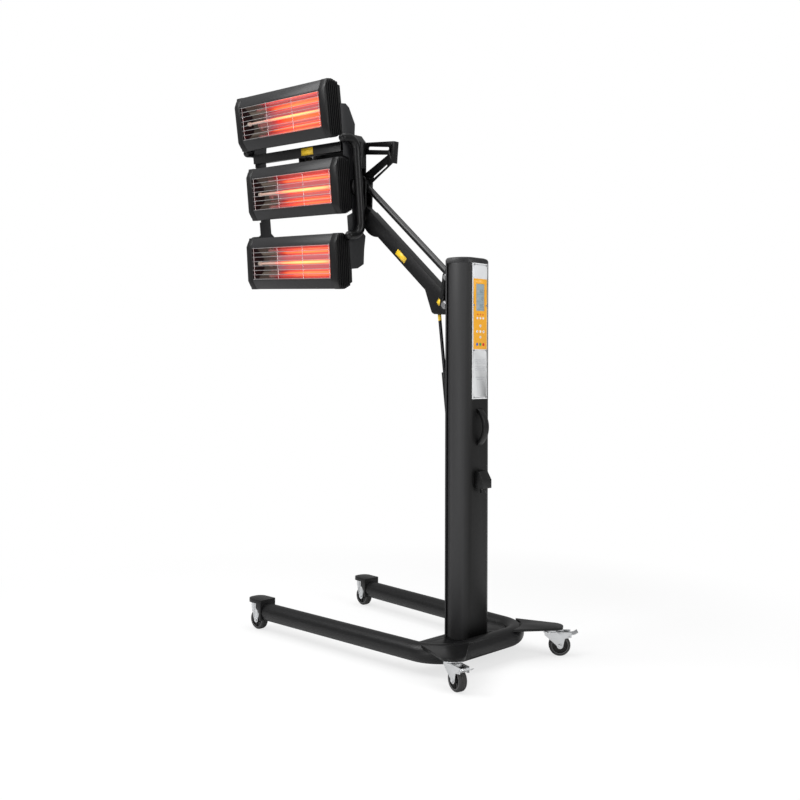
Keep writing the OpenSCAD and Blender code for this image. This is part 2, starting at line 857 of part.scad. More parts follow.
// Indicator lamps, three round keys, a cross of arrow keys and three coloured keys
module panel_keys() {
    face = panel_t + overlay_t;
    led_row = display_low - 2.5 * led_d;
    round_row = led_row - 2.4 * led_d;
    cross_row = round_row - 2.4 * key_pitch;
    last_row = cross_row - 2.3 * key_pitch;
    color("#e8e8e6") {
        for (i = [-1:1]) {
            on_panel(i * key_pitch, led_row, face) cylinder(r = led_d / 2, h = key_t);
            on_panel(i * key_pitch, round_row, face) cylinder(r = key_d / 2.4, h = key_t);
            on_panel(i * key_pitch, cross_row, face) cylinder(r = key_d / 2, h = key_t);
            on_panel(i * key_pitch, last_row, face) cylinder(r = key_d / 2, h = key_t);
        }
        for (i = [-1, 1]) on_panel(0, cross_row + i * key_pitch, face) cylinder(r = key_d / 2, h = key_t);
    }
}

module panel_screws() {
    color("#a8aaac") for (z = screw_rows, s = [-1, 1]) on_panel(s * (panel_w / 2 - screw_in), z, 0) {
        cylinder(r = screw_d / 4, h = panel_t);
        translate([0, 0, panel_t]) cylinder(r = screw_d / 2, h = screw_t);
    }
}

// Power and timer board inside the column, on four spacers behind the panel
module control_board() {
    mid = overlay_low + overlay_h / 2;
    color("#1f5a36") {
        on_panel(0, mid, -board_gap - board_t) translate([-board_w / 2, -board_h / 2, 0])
            cube([board_w, board_h, board_t]);
        for (x = [-1, 1], z = [-1, 1]) on_panel(x * (board_w / 2 - screw_in),
            mid + z * (board_h / 2 - screw_in), -board_gap)
            cylinder(r = screw_d / 2, h = board_gap);
        for (z = [-1, 1]) on_panel(0, mid + z * board_h / 4, -board_gap - board_t)
            translate([-board_w / 4, -board_h / 10, -board_gap])
            cube([board_w / 2, board_h / 5, board_gap]);
    }
}

module grab_handle() {
    r = (handle_half * handle_half + handle_out * handle_out) / (2 * handle_out);
    o = [col_rear + handle_out - r, handle_mid_z];
    color("#19191a") across(handle_w) difference() {
        at2(o) circle(r);
        at2(o) circle(r - handle_bar);
        translate([col_rear - 2 * r, handle_mid_z - r - over]) square([2 * r, 2 * r + 2 * over]);
    }
}

module inlet_box() {
    color("#19191a") across(inlet_w) polygon([
        [col_rear, inlet_z - inlet_h / 2], [col_rear + inlet_out, inlet_z - inlet_h / 2],
        [col_rear + inlet_out, inlet_z], [col_rear + inlet_out / 2, inlet_z + inlet_h / 2],
        [col_rear, inlet_z + inlet_h / 2]
    ]);
}

module inlet_gland() {
    color("#222223") translate([0, col_rear + inlet_out / 2, inlet_z - inlet_h / 2 - gland_h]) difference() {
        union() {
            cylinder(r = gland_r - gland_in, h = gland_h);
            translate([0, 0, gland_h / 2]) cylinder(r = gland_r, h = gland_h / 2, $fn = 6);
        }
        translate([0, 0, -over]) cylinder(r = gland_r / 2, h = gland_h / 2);
    }
}

// Lifting arm, drawn in the Y-Z plane with u from the lower to the upper pivot and v below it
module arm_plane() {
    at2(p0) rotate(arm_dir) children();
}

module arm_tube() {
    color("#151516") difference() {
        union() {
            across(arm_w) arm_plane() {
                circle(arm_root_r);
                translate([0, -arm_depth / 2]) square([arm_len - arm_tube_to, arm_depth]);
                link2d([0, 0], arm_root_r, [strut_ear_u, strut_ear_v], strut_ear_r);
                link2d([strut_ear_u, strut_ear_v], strut_ear_r, [2 * strut_ear_u + strut_ear_v, 0],
                    strut_ear_r);
            }
            across(2 * tongue_half) arm_plane()
                link2d([arm_len - arm_tube_to, 0], arm_depth / 2, [arm_len, 0], arm_tip_r - tongue_drop);
        }
        across(arm_w - 2 * arm_wall) arm_plane()
            translate([2 * strut_ear_u + strut_ear_v, -arm_depth / 2 + arm_wall])
                square([arm_len - arm_tube_to - arm_wall - 2 * strut_ear_u - strut_ear_v,
                    arm_depth - 2 * arm_wall]);
        across(2 * (strut_eye_half + side_gap + slot_room)) arm_plane()
            translate([-arm_root_r - over, strut_ear_v - strut_eye_r - strut_play])
                square([3 * strut_ear_u + arm_root_r, 3 * strut_ear_r]);
        pin_at(p0, pin_r + run_gap, arm_w);
        pin_at(p1, pin_r + run_gap, arm_w);
    }
}

// Protective sleeve where the lamp cables leave the arm
module cable_sleeve() {
    r = (sleeve_half * sleeve_half + sleeve_out * sleeve_out) / (2 * sleeve_out);
    color("#0f0f10") across(sleeve_w) arm_plane() intersection() {
        translate([sleeve_at, arm_depth / 2 + sleeve_out - r]) circle(r, $fn = 180);
        translate([sleeve_at - sleeve_half - over, arm_depth / 2])
            square([2 * sleeve_half + 2 * over, 2 * sleeve_out]);
    }
}

module guide_rod() {
    color("#1a1a1b") difference() {
        union() {
            translate([0, r0[0], r0[1]]) rotate([arm_dir - 90, 0, 0]) translate([0, 0, rod_collar])
                cylinder(r = rod_d / 2, h = arm_len - 2 * rod_collar);
            across(2 * tongue_half) at2(r0) rotate(arm_dir) {
                circle(rod_eye_r);
                translate([0, -rod_eye_r + rod_flat]) square([rod_collar, 2 * rod_eye_r - 2 * rod_flat]);
                translate([arm_len, 0]) circle(rod_eye_r);
                translate([arm_len - rod_collar, -rod_eye_r + rod_flat])
                    square([rod_collar, 2 * rod_eye_r - 2 * rod_flat]);
            }
        }
        pin_at(r0, rod_pin_r + run_gap, arm_w);
        pin_at(r1, rod_pin_r + run_gap, arm_w);
    }
}

// The gas strut's own frame: it stands on its lower pivot with +Z along the rod
module rotate_strut() {
    translate([0, s0[0], s0[1]]) rotate([strut_dir - 90, 0, 0]) children();
}

module strut_cylinder() {
    color("#1a1a1b") difference() {
        union() {
            rotate_strut() translate([0, 0, cyl_from]) cylinder(r = strut_d / 2, h = cyl_len);
            rotate_strut() cylinder(r = strut_d / 2 - neck_in, h = cyl_from);
            pin_at(s0, strut_eye_r, strut_eye_half);
        }
        rotate_strut() translate([0, 0, cyl_from + cyl_cap])
            cylinder(r = strut_d / 2 - cyl_wall, h = cyl_len - 2 * cyl_cap);
        rotate_strut() translate([0, 0, cyl_from + cyl_len - cyl_cap - over])
            cylinder(r = rod_r + run_gap, h = cyl_cap + 2 * over);
        pin_at(s0, bolt_r + run_gap, arm_w);
    }
}

// The rod's eye carries its own short bolt between the arm's ears, where the strut's loop is opened
module strut_rod() {
    from = cyl_from + cyl_len - cyl_cap - rod_in;
    color("#c4c6c8") {
        rotate_strut() translate([0, 0, from]) cylinder(r = rod_r, h = strut_len - from);
        rotate_strut() translate([0, 0, from - piston_h]) cylinder(r = piston_r, h = piston_h);
        pin_at(s1, strut_eye_r, strut_eye_half);
    }
}

// Carrier: it keeps the head upright. Drawn in the Y-Z plane
module carrier2d() {
    hub = [-hub_y, hub_z];
    link2d(p1, carrier_low_r, r1, carrier_rod_r);
    link2d(p1, carrier_low_r, hub, hub_r);
    polygon([
        hub + hub_r * [cos(80), sin(80)], hub - hub_r * [0, 1], p1 - carrier_low_r * [1, 0],
        r1 + [-tail_x, 0], r1 + [-tail_x - over, tail_top],
            r1 + [-carrier_rod_r - tail_x, tail_top + shoulder_up],
        r1 + [-2 * carrier_rod_r - tail_x, tail_top + shoulder_up + shoulder_rise]
    ]);
}

module carrier() {
    color("#121213") difference() {
        union() {
            across(arm_w) carrier2d();
            carrier_frame() cylinder(r = hub_r, h = 2 * hub_half, center = true);
        }
        across(2 * slot_half) {
            at2(p1) circle(arm_depth / 2 + arm_tip_r);
            at2(r1) circle(rod_collar + carrier_rod_r);
        }
        across(arm_w - 2 * carrier_wall) difference() {
            offset(delta = -carrier_wall) carrier2d();
            at2(p1) circle(arm_depth / 2 + arm_tip_r + carrier_wall);
            at2(r1) circle(rod_collar + carrier_rod_r + carrier_wall);
            translate([-hub_y, hub_z]) circle(2 * hub_r);
        }
        pin_at(p1, pin_r + seat_gap / 10, arm_w);
        pin_at(r1, rod_pin_r + seat_gap / 10, arm_w);
        carrier_frame() {
            cylinder(r = hub_pin_r + run_gap, h = 4 * hub_half, center = true);
            for (z = [0, 1]) mirror([0, 0, z]) translate([0, 0, hub_half])
                cylinder(r = hub_r - disc_in + 2 * side_gap, h = 2 * hub_r);
        }
        knuckle_space();
    }
}

// Room for the turning knuckle's tongue, which sits round the middle of the hub
module knuckle_space() {
    carrier_frame() difference() {
        cylinder(r = 3 * hub_r, h = hub_half + 2 * side_gap, center = true);
        translate([-arm_w, hub_r + side_gap, -hub_half]) cube([2 * arm_w, 3 * hub_r, 2 * hub_half]);
    }
}

module carrier_pins() {
    color("#8f9193") {
        pin_at(p1, pin_r, cheek_half);
        pin_at(r1, rod_pin_r, cheek_half);
        for (s = [-1, 1]) translate([s * (cheek_half + collar_t / 2), 0, 0]) {
            pin_at(p1, pin_r + collar_over, collar_t / 2);
            pin_at(r1, rod_pin_r + rod_collar_over, collar_t / 2);
        }
    }
}

// Slotted frame behind the carrier, by which the operator moves the arm. It lies beside the guide rod
module tail2d() {
    a = r1 + [-tail_x, tail_top];
    b = a + [tail_len, -tail_drop];
    c = b + [-tail_in, -tail_end_h];
    d = r1 + [tail_low_y, tail_low_z];
    e = r1 + [-tail_x, tail_low_z];
    difference() {
        polygon([a, b, c, d, e]);
        polygon([
            a + [-over, -tail_bar], b + [-tail_end, -tail_bar], r1 + [-tail_x - over, tail_low_z + tail_diag]
        ]);
        link2d(a + [tail_slot * 2, -tail_bar * 0.55], tail_slot / 2, b + [-tail_end, -tail_bar * 0.5],
            tail_slot / 2 - slot_taper);
        link2d(c + [-tail_end, -tail_slot / 2], tail_slot / 3, d + [tail_slot * 0.8, tail_slot * 1.7],
            tail_slot / 3 - slot_taper);
        carrier2d();
    }
}

module tail_frame() {
    b = r1 + [-tail_x, tail_top] + [tail_len, -tail_drop];
    x = -slot_half - seat_gap - tail_t;
    color("#161617") {
        across(tail_t, x + tail_t / 2) tail2d();
        across(tail_w, x - tail_w / 2) polygon([b, b - [tail_in, tail_end_h],
            b - [tail_in + tail_t, tail_end_h], b - [tail_t, 0]]);
    }
}

// Turning knuckle: a sleeve in the carrier's hub with a forward tongue that carries the tilt pin
module turning_knuckle() {
    color("#161617") knuckle_frame() difference() {
        union() {
            cylinder(r = hub_pin_r, h = 2 * hub_half + 2 * disc_over, center = true);
            cylinder(r = hub_r, h = hub_half, center = true);
            for (z = [-1, 1]) translate([0, 0, z * (hub_half + disc_t / 2 + side_gap)])
                cylinder(r = hub_r - disc_in, h = disc_t, center = true);
            translate([0, -knuckle_half, -hub_half / 2]) cube([tilt_off, 2 * knuckle_half, hub_half]);
            translate([tilt_off, 0, 0]) rotate([90, 0, 0])
                cylinder(r = knuckle_r - knuckle_in, h = 2 * knuckle_half, center = true);
        }
        translate([tilt_off, 0, 0]) rotate([90, 0, 0])
            cylinder(r = tilt_pin_r + run_gap, h = 4 * knuckle_half, center = true);
    }
}

// Head
module tilt_axis_bar(r, half) {
    translate([-tilt_n, 0, tilt_b]) rotate([90, 0, 0]) cylinder(r = r, h = 2 * half, center = true);
}

module tilt_pin() {
    half = knuckle_half + side_gap + ear_t;
    color("#8f9193") head_frame() {
        tilt_axis_bar(tilt_pin_r, half);
        for (s = [-1, 1]) translate([0, s * (half + collar_t / 2), 0])
            tilt_axis_bar(tilt_pin_r + collar_over, collar_t / 2);
    }
}

// Square tube between the side plates, with the two ears of the tilt joint on its back
module crossbar() {
    color("#1a1a1b") head_frame() difference() {
        union() {
            difference() {
                translate([-bar_n, -plate_in, bar_b - bar_s / 2]) cube([bar_s, 2 * plate_in, bar_s]);
                translate([-bar_n + bar_wall, -plate_in - over, bar_b - bar_s / 2 + bar_wall])
                    cube([bar_s - 2 * bar_wall, 2 * (plate_in + over), bar_s - 2 * bar_wall]);
            }
            for (s = [-1, 1]) translate([0, s * (knuckle_half + side_gap + ear_t / 2), 0]) {
                translate([-tilt_n, 0, tilt_b]) rotate([90, 0, 0])
                    cylinder(r = knuckle_r, h = ear_t, center = true);
                translate([-tilt_n, -ear_t / 2, tilt_b - knuckle_r])
                    cube([tilt_n - bar_n, ear_t, knuckle_r + bar_b - tilt_b]);
            }
        }
        tilt_axis_bar(tilt_pin_r + seat_gap / 10, 4 * knuckle_half);
    }
}

// Side plate's outline: n points forward, b up. Its tongues reach into the gaps between the cassettes
module plate2d() {
    back = cassette_depth - plate_overlap;
    mid = cassette_pitch / 2;
    n = plate_backs;
    b = plate_heights;
    t = tongue_steps;
    polygon([
        [-back + outer_forward, cassette_pitch + b[0]], [-n[0], cassette_pitch + b[0]],
        [-n[1], cassette_pitch + b[1]],
        [-n[2], cassette_pitch - b[2]], [-n[3], b[3]], [-n[3], -b[4]], [-n[4], -b[5]], [-n[5], -b[6]],
        [-n[2], -cassette_pitch - b[0]], [-n[6], -cassette_pitch - b[7]],
        [-back + outer_forward, -cassette_pitch - b[7]],
        [-back + outer_forward, -mid - t[0]], [-tongue_n, -mid - t[1]], [-tongue_n, -mid + t[2]],
        [-back, -mid + t[0]],
        [-back, mid - t[3]], [-tongue_n, mid - t[1]], [-tongue_n, mid + t[4]],
        [-back + outer_forward, mid + t[5]]
    ]);
}

module side_plate(s) {
    color("#54565a") head_frame() translate([0, s * (plate_out - plate_t / 2), 0])
        rotate([90, 0, 0]) linear_extrude(plate_t, center = true) plate2d();
}

// C-shaped handle tube with the octagonal boss that holds it to the side plate
module handle(s) {
    a = s * (plate_out + tube_off);
    color("#101011") head_frame() translate([0, a, 0]) {
        translate([-handle_n, 0, handle_low_b + handle_bend])
            cylinder(r = handle_r, h = handle_top_b - handle_low_b - 2 * handle_bend);
        for (e = [[handle_top_b, 1], [handle_low_b, -1]])
            translate([-handle_n + handle_bend, 0, e[0] - e[1] * handle_bend]) {
            mirror([0, 0, e[1] > 0 ? 0 : 1]) rotate([90, 0, 0]) rotate([0, 0, 90]) rotate_extrude(angle = 90)
                translate([handle_bend, 0]) circle(handle_r);
            translate([0, 0, e[1] * handle_bend]) rotate([0, 90, 0]) cylinder(r = handle_r, h = handle_reach);
            translate([handle_reach, 0, e[1] * handle_bend]) sphere(handle_r);
        }
        translate([-handle_n, -s * tube_off, -knob_low]) scale([knob_share, 1, 1])
            rotate([s > 0 ? -90 : 90, 0, 0]) cylinder(r = knob_r, h = knob_t, $fn = 8);
    }
}

// Outline of a cassette's housing: n forward, b up
function cassette_pts(t) = let (h = cassette_h / 2 - t, w = window_h / 2 + flange_lip) [
    [flange_lip - flange_back, -w], [-flange_n, -h], [-shoulder_n, -h],
    [-cassette_depth + t, -h * back_share],
    [-cassette_depth + t, h * back_share], [-shoulder_n, h], [-flange_n, h], [flange_lip - flange_back, w]
];

module housing(k) {
    color("#3c3d40") head_frame() cassette_frame(k) difference() {
        rotate([90, 0, 0]) linear_extrude(window_w, center = true) polygon(cassette_pts(0));
        rotate([90, 0, 0]) linear_extrude(window_w + 2 * over, center = true) polygon([
            [2 * flange_lip, -window_h / 2], [-window_n, -window_h / 2],
            [-inner_n, -cassette_h / 2 + 2 * shell_t + fold_room],
            [-cassette_depth + shell_t, -cassette_h * back_share / 2 + 2 * shell_t],
            [-cassette_depth + shell_t, cassette_h * back_share / 2 - 2 * shell_t],
            [-inner_n, cassette_h / 2 - 2 * shell_t - fold_room], [-window_n, window_h / 2],
            [2 * flange_lip, window_h / 2]
        ]);
    }
}

// Moulded end cap with upright grooves; its back steps in between the side plates
module end_cap(s) {
    a0 = window_w / 2 + seat_gap;
    front_w = front_cap_w;
    rib_p = (back_step - rib_margin) / cap_ribs;
    mirror([0, s < 0 ? 1 : 0, 0]) difference() {
        union() {
            translate([0, a0 + front_w / 2, 0]) rotate([90, 0, 0]) linear_extrude(front_w, center = true)
                intersection() {
                    polygon(cassette_pts(-cap_over));
                    translate([-back_step, -cassette_h]) square([2 * back_step, 2 * cassette_h]);
                }
            translate([0, a0 + cap_back_w / 2, 0]) rotate([90, 0, 0])
                linear_extrude(cap_back_w, center = true)
                polygon(cassette_pts(cap_in));
        }
        for (i = [1:cap_ribs]) translate([-back_step + i * rib_p - rib_start, a0 + front_w, 0])
            cube([rib_gap, rib_gap, 2 * cassette_h], center = true);
    }
}

module end_caps() {
    color("#131314") head_frame() for (k = [-1:1], s = [-1, 1]) cassette_frame(k) end_cap(s);
}

// Bright trough behind each lamp, with two sloped wings
function trough(t) = let (h = window_h / 2 - seat_gap - t, s = t * trough_shift) [
    [-trough_lip, -h], [-trough_edge + s, -h], [-trough_fold + t, -h / 2 - s / 2], [-trough_depth + t, 0],
    [-trough_fold + t, h / 2 + s / 2], [-trough_edge + s, h], [-trough_lip, h]
];

module reflectors() {
    inner = trough(reflector_t);
    color("#d8d4d0") head_frame() for (k = [-1:1]) cassette_frame(k)
        rotate([90, 0, 0]) linear_extrude(window_w - 2 * seat_gap, center = true)
            polygon(concat(trough(0), [for (i = [len(inner) - 1:-1:0]) inner[i]]));
}

// Quartz tube with a ceramic end on each side
module quartz_lamps() {
    color("#ffb060") head_frame() for (k = [-1:1]) cassette_frame(k) translate([-lamp_n, 0, 0])
        rotate([90, 0, 0]) {
        cylinder(r = lamp_r, h = window_w, center = true);
        for (s = [-1, 1]) translate([0, 0, s * (window_w - lamp_end) / 2])
            cylinder(r = lamp_r + lamp_collar, h = lamp_end, center = true);
    }
}

// Wire guard: level wires in front of a few upright ones, which end at the window's edges
module wire_guards() {
    half = window_h / 2 - 2 * wire_r;
    color("#c9cacb") head_frame() for (k = [-1:1]) cassette_frame(k) {
        for (i = [0:guard_rows - 1]) translate([guard_n, 0, half * (2 * i / (guard_rows - 1) - 1)])
            rotate([90, 0, 0]) cylinder(r = wire_r, h = window_w, center = true);
        for (i = [0:guard_cols - 1])
            translate([guard_n - 2 * wire_r - seat_gap / 4,
                (window_w / 2 - guard_in) * (2 * i / (guard_cols - 1) - 1), 0])
                cylinder(r = wire_r, h = window_h, center = true);
    }
}

placed() base_tube();
placed() base_plate();
placed() base_bolts();
placed() outrigger(1);  // outrigger_left
placed() outrigger(-1);  // outrigger_right
placed() front_bracket(1);  // front_bracket_left
placed() front_bracket(-1);  // front_bracket_right
placed() front_fork(1);  // front_fork_left
placed() front_fork(-1);  // front_fork_right
placed() front_wheel(1);  // front_wheel_left
placed() front_wheel(-1);  // front_wheel_right
placed() caster_plate(1);  // caster_plate_left
placed() caster_plate(-1);  // caster_plate_right
placed() rear_fork(1, heading_left);  // rear_fork_left
placed() rear_fork(-1, heading_right);  // rear_fork_right
placed() rear_wheel(1, heading_left);  // rear_wheel_left
placed() rear_wheel(-1, heading_right);  // rear_wheel_right
placed() brake_pedal(1, heading_left);  // brake_pedal_left
placed() brake_pedal(-1, heading_right);  // brake_pedal_right
placed() column();
placed() column_cap();
placed() arm_clevis();
placed() clevis_pins();
placed() strut_bracket();
placed() strut_bolt();
placed() panel_plate();
placed() panel_overlay();
placed() panel_display();
placed() panel_keys();
placed() panel_screws();
placed() control_board();
placed() grab_handle();
placed() inlet_box();
placed() inlet_gland();
placed() arm_tube();
placed() cable_sleeve();
placed() guide_rod();
placed() strut_cylinder();
placed() strut_rod();
placed() carrier();
placed() carrier_pins();
placed() tail_frame();
placed() turning_knuckle();
placed() tilt_pin();
placed() crossbar();
placed() side_plate(1);  // side_plate_left
placed() side_plate(-1);  // side_plate_right
placed() handle(1);  // handle_left
placed() handle(-1);  // handle_right
placed() housing(1);  // housing_top
placed() housing(0);  // housing_middle
placed() housing(-1);  // housing_bottom
placed() end_caps();
placed() reflectors();
placed() quartz_lamps();
placed() wire_guards();
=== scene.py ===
import math

import bpy
import numpy as np
from mathutils import Matrix, Vector


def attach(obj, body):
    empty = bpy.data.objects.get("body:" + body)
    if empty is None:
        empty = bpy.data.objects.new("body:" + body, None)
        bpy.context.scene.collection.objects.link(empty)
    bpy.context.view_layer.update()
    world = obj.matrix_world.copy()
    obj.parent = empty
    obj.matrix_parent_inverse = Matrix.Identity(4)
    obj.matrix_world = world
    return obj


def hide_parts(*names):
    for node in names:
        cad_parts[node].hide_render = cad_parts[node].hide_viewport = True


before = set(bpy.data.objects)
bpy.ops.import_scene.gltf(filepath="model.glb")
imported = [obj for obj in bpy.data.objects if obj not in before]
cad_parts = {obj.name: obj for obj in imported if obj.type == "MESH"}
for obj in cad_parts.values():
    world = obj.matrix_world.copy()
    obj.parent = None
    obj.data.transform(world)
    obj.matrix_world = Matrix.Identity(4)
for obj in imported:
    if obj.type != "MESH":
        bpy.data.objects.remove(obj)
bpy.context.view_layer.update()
scene = bpy.context.scene
print("frame loaded")

mm = 0.001
# From the middle of the lamp's box to the point under the column, from which all pieces are drawn
origin = np.array((12.1, 426.3, 0.0)) * mm


# Shader groups

def newGroup(name, inputs, outputs):
    group = bpy.data.node_groups.new(name, "ShaderNodeTree")
    for label, kind, value in inputs:
        socket = group.interface.new_socket(label, in_out="INPUT", socket_type=kind)
        if value is not None:
            socket.default_value = value
    for label, kind in outputs:
        group.interface.new_socket(label, in_out="OUTPUT", socket_type=kind)
    start = group.nodes.new("NodeGroupInput")
    end = group.nodes.new("NodeGroupOutput")
    return group, start, end


def node(tree, kind, links=None, **settings):
    made = tree.nodes.new(kind)
    for key, value in settings.items():
        setattr(made, key, value)
    for key, value in (links or {}).items():
        if isinstance(value, bpy.types.NodeSocket):
            tree.links.new(value, made.inputs[key])
        else:
            made.inputs[key].default_value = value
    return made


def mathNode(tree, operation, first, second, clamp=False):
    return node(tree, "ShaderNodeMath", {0: first, 1: second}, operation=operation, use_clamp=clamp).outputs[0]


def mixColour(tree, factor, first, second):
    return node(tree, "ShaderNodeMix", {0: factor, 6: first, 7: second}, data_type="RGBA").outputs[2]


# Colour and roughness of a finish: worn edges show the colour below, dust lies in slow patches,
# and fine grain raises the surface. Roughness = base + patches * spread
def makeFinishGroup():
    group, start, end = newGroup("finish", [
        ("Colour", "NodeSocketColor", (0.5, 0.5, 0.5, 1)),
        ("Edge Colour", "NodeSocketColor", (0.6, 0.6, 0.6, 1)),
        ("Edge Wear", "NodeSocketFloat", 0.2), ("Dust", "NodeSocketFloat", 0.05),
        ("Roughness", "NodeSocketFloat", 0.5),
        ("Spread", "NodeSocketFloat", 0.1), ("Grain Scale", "NodeSocketFloat", 900.0),
        ("Metal", "NodeSocketFloat", 0.0),
    ], [("Colour", "NodeSocketColor"), ("Roughness", "NodeSocketFloat"), ("Metallic", "NodeSocketFloat"),
        ("Height", "NodeSocketFloat")])
    where = node(group, "ShaderNodeTexCoord").outputs["Object"]
    patches = node(group, "ShaderNodeTexNoise",
                   {"Vector": where, "Scale": 9.0, "Detail": 6.0, "Roughness": 0.6}).outputs["Fac"]
    scuffs = node(group, "ShaderNodeTexNoise", {"Vector": where, "Scale": 130.0, "Detail": 4.0}).outputs["Fac"]
    grain = node(group, "ShaderNodeTexNoise",
                 {"Vector": where, "Scale": start.outputs["Grain Scale"], "Detail": 2.0}).outputs["Fac"]
    pointed = node(group, "ShaderNodeNewGeometry").outputs["Pointiness"]
    edge = node(group, "ShaderNodeMapRange", {"Value": pointed, "From Min": 0.53, "From Max": 0.62}).outputs[0]
    broken = node(group, "ShaderNodeMapRange", {"Value": scuffs, "From Min": 0.42, "From Max": 0.6}).outputs[0]
    worn = mathNode(group, "MULTIPLY", mathNode(group, "MULTIPLY", edge, broken), start.outputs["Edge Wear"],
                    True)
    dusty = node(group, "ShaderNodeMapRange", {"Value": patches, "From Min": 0.45, "From Max": 0.75}).outputs[0]
    dusty = mathNode(group, "MULTIPLY", dusty, start.outputs["Dust"], True)
    colour = mixColour(group, worn, start.outputs["Colour"], start.outputs["Edge Colour"])
    colour = mixColour(group, dusty, colour, (0.32, 0.3, 0.27, 1))
    shift = mathNode(group, "MULTIPLY", mathNode(group, "SUBTRACT", patches, 0.5), start.outputs["Spread"])
    rough = mathNode(group, "ADD", mathNode(group, "ADD", start.outputs["Roughness"], shift),
                     mathNode(group, "MULTIPLY", dusty, 0.5), True)
    group.links.new(colour, end.inputs["Colour"])
    group.links.new(rough, end.inputs["Roughness"])
    group.links.new(mathNode(group, "SUBTRACT", start.outputs["Metal"], dusty, True), end.inputs["Metallic"])
    group.links.new(mathNode(group, "ADD", grain, mathNode(group, "MULTIPLY", scuffs, 0.25)),
                    end.inputs["Height"])
    return group


# Glow colours along a lamp, from its cold left end to its glowing middle; on the reflector troughs the same
# colours are painted glow and painted lamp reflections
def makeLampAndPaintedGlowGroup():
    group, start, end = newGroup("heat",
                                 [("Sharpness", "NodeSocketFloat", 1.0),
                                  ("Tint", "NodeSocketColor", (1, 1, 1, 1))], [("Colour", "NodeSocketColor")])
    along = node(group, "ShaderNodeAttribute", attribute_name="along").outputs["Fac"]
    across = node(group, "ShaderNodeAttribute", attribute_name="across").outputs["Fac"]
    ramp = node(group, "ShaderNodeValToRGB", {"Fac": along})
    stops = [(0.0, (0.12, 0.11, 0.09, 1)), (0.2, (0.14, 0.1, 0.08, 1)), (0.27, (0.55, 0.03, 0.02, 1)),
             (0.34, (1.0, 0.25, 0.03, 1)),
             (0.6, (1.0, 0.5, 0.1, 1)), (0.85, (1.0, 0.36, 0.07, 1)), (1.0, (0.5, 0.04, 0.03, 1))]
    ramp.color_ramp.elements[1].position = 1.0
    for place, colour in stops[1:-1]:
        ramp.color_ramp.elements.new(place)
    for element, (place, colour) in zip(ramp.color_ramp.elements, stops):
        element.position = place
        element.color = colour
    faded = mathNode(group, "POWER", mathNode(group, "SUBTRACT", 1.0, across, True), start.outputs["Sharpness"])
    warm = node(group, "ShaderNodeMapRange", {"Value": along, "From Min": 0.2, "From Max": 0.3}).outputs[0]
    tint = mixColour(group, mathNode(group, "POWER", faded, 2.5), start.outputs["Tint"], (1.0, 0.85, 0.6, 1))
    tint = mixColour(group, warm, (1.0, 1.0, 1.0, 1), tint)
    tinted = node(group, "ShaderNodeMix", {0: 1.0, 6: ramp.outputs["Color"], 7: tint}, data_type="RGBA",
                  blend_type="MULTIPLY").outputs[2]
    group.links.new(mixColour(group, faded, (0.0, 0.0, 0.0, 1), tinted), end.inputs["Colour"])
    return group


finishGroup = makeFinishGroup()
lampAndPaintedGlowGroup = makeLampAndPaintedGlowGroup()


def finish(name, colour, roughness, metal=0.0, wear=0.2, edge=(0.3, 0.3, 0.31), dust=0.05, spread=0.12,
           grain=900.0, bump=0.05, coat=0.0,
           shine=0.5):
    material = bpy.data.materials.new(name)
    material.use_nodes = True
    tree = material.node_tree
    surface = tree.nodes["Principled BSDF"]
    look = node(tree, "ShaderNodeGroup", node_tree=finishGroup)
    settings = {"Colour": (*colour, 1), "Edge Colour": (*edge, 1), "Edge Wear": wear, "Dust": dust,
                "Roughness": roughness,
                "Spread": spread, "Grain Scale": grain, "Metal": metal}
    for key, value in settings.items():
        look.inputs[key].default_value = value
    tree.links.new(look.outputs["Colour"], surface.inputs["Base Color"])
    tree.links.new(look.outputs["Roughness"], surface.inputs["Roughness"])
    tree.links.new(look.outputs["Metallic"], surface.inputs["Metallic"])
    relief = node(tree, "ShaderNodeBump",
                  {"Strength": bump, "Distance": 0.0004, "Height": look.outputs["Height"]})
    tree.links.new(relief.outputs["Normal"], surface.inputs["Normal"])
    surface.inputs["Coat Weight"].default_value = coat
    surface.inputs["Coat Roughness"].default_value = 0.12
    surface.inputs["Specular IOR Level"].default_value = shine
    return material


# Emission: the quartz lamps really glow, while on the reflector troughs it is painted glow
def emissiveFinish(name, colour, roughness, metal, strength, sharpness, tint):
    material = finish(name, colour, roughness, metal=metal, wear=0.0, dust=0.0, spread=0.05, bump=0.02)
    tree = material.node_tree
    heat = node(tree, "ShaderNodeGroup", {"Sharpness": sharpness, "Tint": (*tint, 1)}, node_tree=lampAndPaintedGlowGroup)
    surface = tree.nodes["Principled BSDF"]
    tree.links.new(heat.outputs["Colour"], surface.inputs["Emission Color"])
    surface.inputs["Emission Strength"].default_value = strength
    return material


blackPaint = finish("blackPaint", (0.003, 0.003, 0.0033), 0.4, wear=0.1, edge=(0.03, 0.03, 0.032), dust=0.0,
                    spread=0.05, bump=0.04, shine=0.28)
rodPaint = finish("rodPaint", (0.004, 0.004, 0.0045), 0.34, wear=0.1, edge=(0.05, 0.05, 0.05), dust=0.0,
                  spread=0.05, bump=0.03, shine=0.35)
columnCoat = finish("columnCoat", (0.026, 0.026, 0.027), 0.5, wear=0.1, edge=(0.06, 0.06, 0.065), dust=0.0,
                    spread=0.06, grain=1400.0, bump=0.05, shine=0.3)
capMoulding = finish("capMoulding", (0.008, 0.008, 0.009), 0.48, wear=0.05, dust=0.0, grain=1500.0, bump=0.12,
                     shine=0.4)
zincPlate = finish("zincPlate", (0.56, 0.57, 0.58), 0.3, metal=1.0, wear=0.15, edge=(0.75, 0.75, 0.76),
                   dust=0.12, spread=0.25, grain=500.0)
steelPin = finish("steelPin", (0.42, 0.42, 0.43), 0.28, metal=1.0, wear=0.3, edge=(0.7, 0.7, 0.7), grain=1200.0)
brightRod = finish("brightRod", (0.03, 0.03, 0.032), 0.2, metal=1.0, wear=0.0, dust=0.0, spread=0.06)
